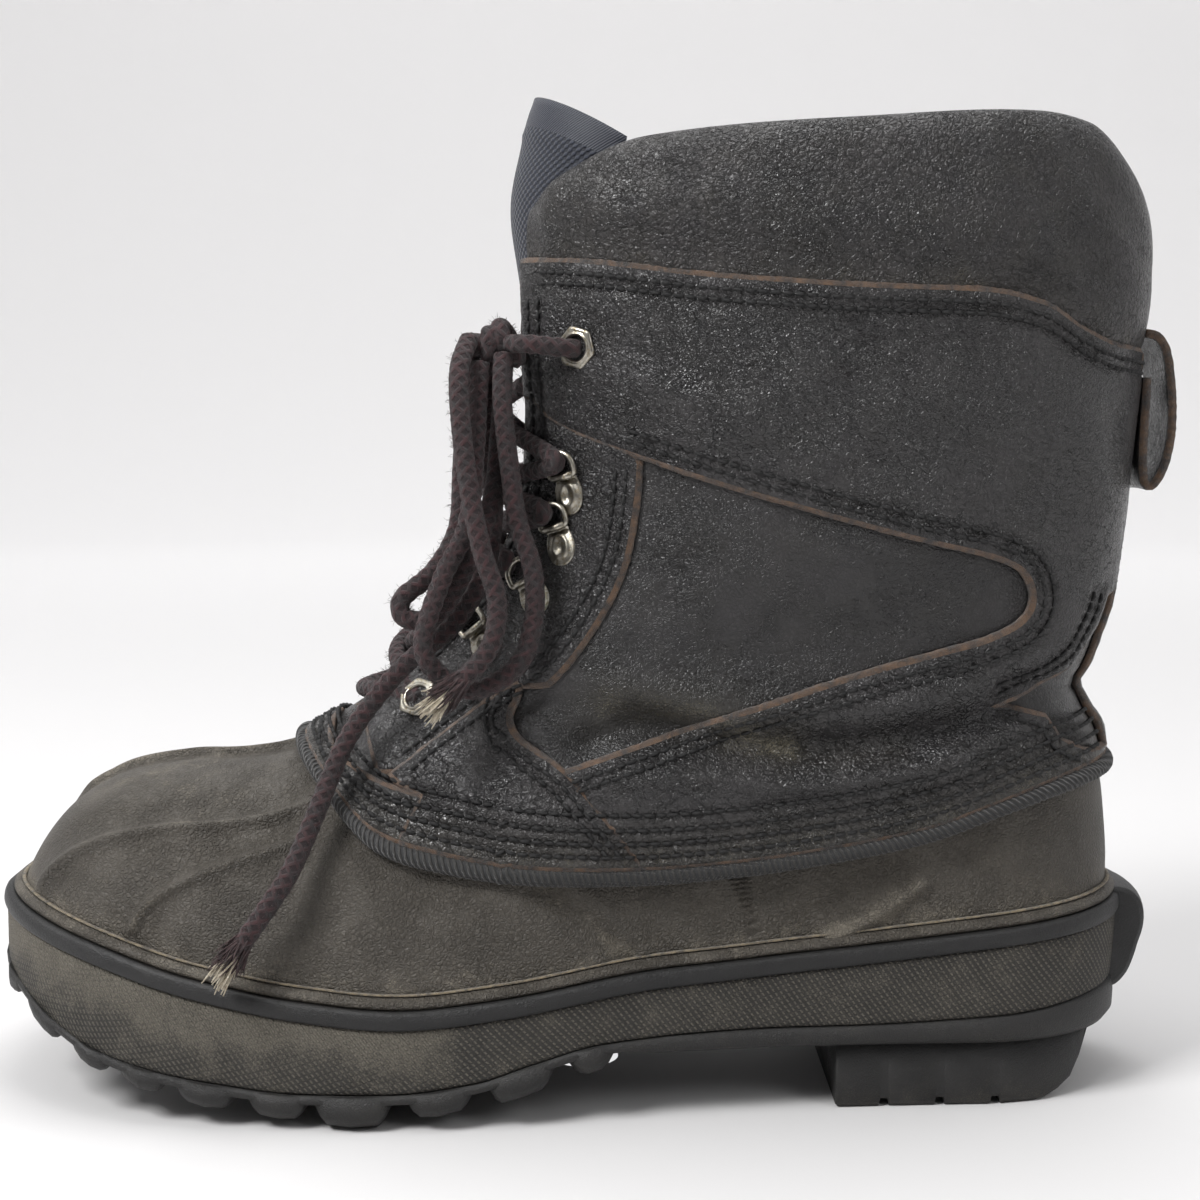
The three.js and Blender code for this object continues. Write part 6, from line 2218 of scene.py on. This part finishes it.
@dataclass
class Lace:
    """The braided lace: its crossings through the clips, and the bow with its frayed ends."""

    finishes: Finishes
    knot: tuple[float, float, float] = (-20.0, -27.0, 201.0)
    stops: tuple[tuple[float, float, float], ...] = (
        (-40.0, 106.0, -1.5), (-25.8, 128.2, 3.2), (-13.8, 142.0, 3.2), (-4.6, 157.2, 3.2),
        (-1.2, 171.4, 3.2), (3.0, 201.0, -3.5),
    )
    sides: int = 18
    step: float = 0.75
    seed: int = 23
    wrap_radius: float = 2.6
    core_radius: float = 3.2
    strand_radius: float = 2.4

    def path(self, route: Sequence[Sequence[float]]) -> np.ndarray:
        """The smooth centreline through a route's points."""
        return evenly(catmull(np.array(route, float), 12), self.step)

    def cords(self) -> None:
        """The bow's two loops and two ends, which are the boot's free cords."""
        knot = self.tie()
        for name, node, route, end in (
            ("lace_loop_front", "bow_loop_front", LOOP_FRONT, "object"),
            ("lace_loop_back", "bow_loop_back", LOOP_BACK, "object"),
            ("lace_tail_short", "lace_end_short", END_SHORT, "bare"),
            ("lace_tail_long", "lace_end_long", END_LONG, "bare"),
        ):
            path = self.path(route)
            data = MeshData()
            tubes(data, path, LACE / 2, self.sides, 0, braid)
            piece = data.build(name, [self.finishes.lace])
            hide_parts(node)
            loose = MeshData()
            self.hairs(loose, path, LACE / 2)
            if end == "bare":
                self.tuft(loose, path)
            fibres = loose.build(name + "_fibres", [self.finishes.fuzz, self.finishes.frayed])

    def hairs(self, data: MeshData, path: np.ndarray, size: float, per_mm: float = 9.0) -> None:
        """Adds loose fibres that stand off a lace."""
        noise = np.random.default_rng(self.seed + len(path))
        count = int(distances(path)[-1] * per_mm)
        at = noise.integers(2, len(path) - 2, count)
        run = path[at + 1] - path[at - 1]
        run /= np.linalg.norm(run, axis=1)[:, None]
        away = np.cross(run, noise.normal(size=(count, 3)))
        away /= np.linalg.norm(away, axis=1)[:, None]
        reach = noise.uniform(0.2, 1.0, (count, 1)) ** 1.6 * 2.4
        lean = run * noise.uniform(-1.3, 1.3, (count, 1)) + noise.normal(size=(count, 3)) * 0.3
        root = path[at] + away * (size * 0.9)
        points = [root, root + away * reach * 0.55 + lean * 0.35, root + away * reach * 0.8 + lean]
        tubes(data, np.stack(points, 1), np.array([0.06, 0.05, 0.02]), 3)

    def tuft(self, data: MeshData, path: np.ndarray) -> None:
        """Adds the frayed strands at a lace's end, pale in the middle and dark around."""
        noise = np.random.default_rng(self.seed * 3 + len(path))
        run = path[-1] - path[-6]
        run /= np.linalg.norm(run)
        share = np.linspace(0, 1, 7)[None, :, None]
        for slot, count, inner, outer, short, long, thick in (
            (0, 150, 1.2, 2.5, 5, 10, 0.2), (1, 70, 0.1, 1.7, 9, 14, 0.3),
        ):
            offset = noise.normal(size=(count, 3))
            offset -= run * (offset @ run)[:, None]
            offset /= np.linalg.norm(offset, axis=1)[:, None]
            start = path[-1] + offset * noise.uniform(inner, outer, (count, 1))
            start -= run * noise.uniform(0.5, 3.0, (count, 1))
            reach = noise.uniform(short, long, (count, 1, 1))
            spread = (offset * noise.uniform(0.3, 2.2, (count, 1)))[:, None]
            bend = (noise.normal(size=(count, 3)) * 0.9)[:, None]
            points = start[:, None] + run * reach * share + spread * share + bend * share**2
            tubes(data, points, thick * np.array([1, 1, 1, 0.95, 0.9, 0.8, 0.5]), 5, slot)

    def tie(self) -> bpy.types.Object:
        """The bow's knot: two wraps of lace around its middle."""
        data = MeshData()
        centre = np.array(self.knot)
        for tilt, size, shift in ((0.2, 4.6, -1.5), (-0.5, 4.4, 2.2)):
            turn = np.linspace(0, 2 * math.pi * 1.15, 60)
            aside = shift + 1.8 * np.sin(turn / 2)
            local = np.column_stack([aside, -size * np.cos(turn), size * np.sin(turn)])
            cos, sin = math.cos(tilt), math.sin(tilt)
            spin = np.array([[cos, 0, sin], [0, 1, 0], [-sin, 0, cos]])
            path = evenly(local @ spin.T + centre, self.step)
            tubes(data, path, self.wrap_radius, self.sides, 0, braid)
            self.hairs(data, path, self.wrap_radius)
        core = evenly(np.array([centre + (-7, -3, 1), centre, centre + (6, 3, -2)]), self.step)
        tubes(data, core, self.core_radius, self.sides, 0, braid)
        piece = data.build("lace_knot", [self.finishes.lace])
        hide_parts("bow_knot")
        return piece

    def stop(self, index: int, side: Side, rise: float = 0.0, lift: float | None = None) -> np.ndarray:
        """A point where the lace passes an eyelet or ring.

        Args:
            index: which one, from the bottom.
            side: the boot's side.
            rise: how far above it.
            lift: distance over the leather, if not the usual one.

        Returns:
            The point.
        """
        x, z, usual = self.stops[index]
        angle, level = LAST.on_side(np.array([x]), np.array([z + rise]), side)
        return shaft_point(angle, level, OVERLAY_FACE + (usual if lift is None else lift))[0]

    def crossings(self) -> None:
        """The two strands that cross from side to side, up to the top eyelets and the knot."""
        data = MeshData()
        loose = MeshData()
        last = len(self.stops) - 1
        knot = np.array(self.knot)
        for first in Side:
            side = first
            over = 1.7 if first is Side.OUTER else -1.7
            route = [self.stop(0, side)]
            for index in range(last):
                start, end = self.stop(index, side, 1.5), self.stop(index + 1, side.other, -1.5)
                middle = (start + end) / 2
                middle[0] = float(LAST.front_x(np.array(middle[2]))) - 6.0 - over
                route.append(lerp(start, middle, 0.55) - (2.5, 0, 0))
                route.append(middle)
                route.append(lerp(end, middle, 0.55) - (2.5, 0, 0))
                if index + 1 < last:
                    route += [end, self.stop(index + 1, side.other, 1.5)]
                side = side.other
                over = -over
            route.append(self.stop(last, side))
            self.strand(data, loose, route)
            out = self.stop(last, side, 0.0, 3.2)
            self.strand(data, loose, [
                self.stop(last, side, 0.0, -2.0), out, lerp(out, knot, 0.4) + (-3, 3.5 * side.value, 1),
                lerp(out, knot, 0.8) + (-2, 0, 1), self.knot,
            ])
        foot = (self.stop(0, Side.OUTER) + self.stop(0, Side.INNER)) / 2
        foot[0] = float(LAST.front_x(foot[2])) - 5.5
        self.strand(data, loose, [
            self.stop(0, Side.OUTER), lerp(self.stop(0, Side.OUTER, 0, 3.5), foot, 0.4), foot,
            lerp(self.stop(0, Side.INNER, 0, 3.5), foot, 0.4), self.stop(0, Side.INNER),
        ])
        piece = data.build("lace_crossings", [self.finishes.lace])
        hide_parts("lace_bars")
        fibres = loose.build("lace_crossing_fibres", [self.finishes.fuzz])

    def strand(self, data: MeshData, loose: MeshData, route: Sequence[Sequence[float]]) -> None:
        """Adds one length of lace and its fibres."""
        path = self.path(route)
        tubes(data, path, self.strand_radius, self.sides, 0, braid)
        self.hairs(loose, path, self.strand_radius, 4.0)


def insole(finishes: Finishes) -> None:
    """Gives the insole's solid its felt."""
    node = bpy.data.objects["insole"]
    node.data.materials.clear()
    node.data.materials.append(finishes.felt)


@dataclass
class Studio:
    """The pale floor with its round sweep, and soft lights."""

    # Floor colours: near and far hold painted light that makes the floor paler towards the wall, front holds
    # painted shade on the camera's side.
    near: tuple[float, float, float, float] = colour(210, 209, 209)
    far: tuple[float, float, float, float] = colour(250, 249, 249)
    front: tuple[float, float, float, float] = colour(120, 119, 119)
    sides: int = 96
    lamps: tuple[tuple[str, tuple, float, float, tuple], ...] = (
        ("key", (-800, -650, 1150), 500, 21.0, (0, 0, 120)),
        ("fill", (900, -900, 900), 500, 3.0, (0, 0, 120)),
        ("top", (100, 100, 1400), 700, 8.0, (0, 0, 100)),
        ("backdrop", (0, 1500, 2600), 1500, 27.0, (0, 3900, 600)),
    )

    def build(self) -> None:
        """Makes the floor, the lights and the sky."""
        self.floor()
        for lamp in self.lamps:
            self.light(*lamp)
        world = bpy.data.worlds.new("studio")
        world.use_nodes = True
        background = world.node_tree.nodes["Background"]
        background.inputs["Color"].default_value = (0.99, 0.99, 1.0, 1.0)
        graph = Graph(world.node_tree)
        parts = graph.node("SeparateXYZ", {0: graph.node("TexCoord").outputs["Generated"]})
        behind = graph.times(parts.outputs["Y"], 0.8)
        above = graph.times(parts.outputs["Z"], 0.6)
        strength = graph.span(graph.plus(behind, above), -0.5, 0.9, 0.14, 0.95)
        graph.link(strength, background, "Strength")
        bpy.context.scene.world = world
        bpy.context.scene.view_settings.view_transform = "Standard"

    def floor(self) -> None:
        """A large disc that bends up into a low wall all around, with painted light that makes it paler
        towards the wall and painted shade that makes it darker on the camera's side.
        """
        flat, bend, top = 2.6, 1.3, 2.1
        rise = np.linspace(0, math.pi / 2, 24)
        profile = [(0.01, 0.0), (1.0, 0.0), (2.0, 0.0)]
        profile += [(flat + bend * math.sin(a), bend * (1 - math.cos(a))) for a in rise]
        profile.append((flat + bend, top))
        grid = turned(around(self.sides), profile)
        faces = grid_faces(len(profile), self.sides, False, True)
        mesh = bpy.data.meshes.new("floor")
        mesh.from_pydata(grid.reshape(-1, 3).tolist(), [], faces.tolist())
        mesh.polygons.foreach_set("use_smooth", [True] * len(mesh.polygons))
        material, graph, shader = Finish("floor", self.near, 0.75).start()
        where = graph.node("TexCoord").outputs["Object"]
        away = graph.node("VectorMath", {0: where}, operation="LENGTH").outputs["Value"]
        # Painted light: the floor is painted paler towards the sweep's wall.
        tint = graph.mix(graph.span(away, 0.25, 2.6), self.near, self.far)
        across = graph.node("SeparateXYZ", {0: where}).outputs["Y"]
        # Painted shade: the floor and wall are painted darker on the camera's side.
        tint = graph.mix(graph.span(across, -0.8, -2.4), tint, self.front)
        graph.link(tint, shader, "Base Color")
        shader.inputs["Specular IOR Level"].default_value = 0.2
        mesh.materials.append(material)
        floor = bpy.data.objects.new("floor", mesh)
        bpy.context.scene.collection.objects.link(floor)

    def light(
        self, name: str, place: Sequence[float], size: float, power: float, target: Sequence[float]
    ) -> None:
        """Adds a soft square light aimed at a point.

        Args:
            name: its name.
            place: where it hangs, in mm.
            size: the length of its sides, in mm.
            power: its strength in watts.
            target: the point that it faces, in mm.
        """
        data = bpy.data.lights.new(name, "AREA")
        data.size = size * MM
        data.energy = power
        lamp = bpy.data.objects.new(name, data)
        lamp.location = metres(place)
        aim = Vector(metres(target)) - lamp.location
        lamp.rotation_euler = aim.to_track_quat("-Z", "Y").to_euler()
        bpy.context.scene.collection.objects.link(lamp)


def main() -> None:
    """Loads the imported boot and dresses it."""
    logging.basicConfig(level=logging.INFO, format="%(relativeCreated)6d %(message)s", stream=sys.stdout)
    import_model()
    PhotoCamera().build()
    finishes = Finishes()
    lace = Lace(finishes)
    lace.cords()
    lace.crossings()
    Sole(finishes).build()
    Shell(finishes).build()
    Leather(finishes).build()
    Collar(finishes).build()
    Tongue(finishes).build()
    PullLoop(finishes).build()
    Hardware(finishes).build()
    insole(finishes)
    Studio().build()


if __name__ == "__main__":
    main()
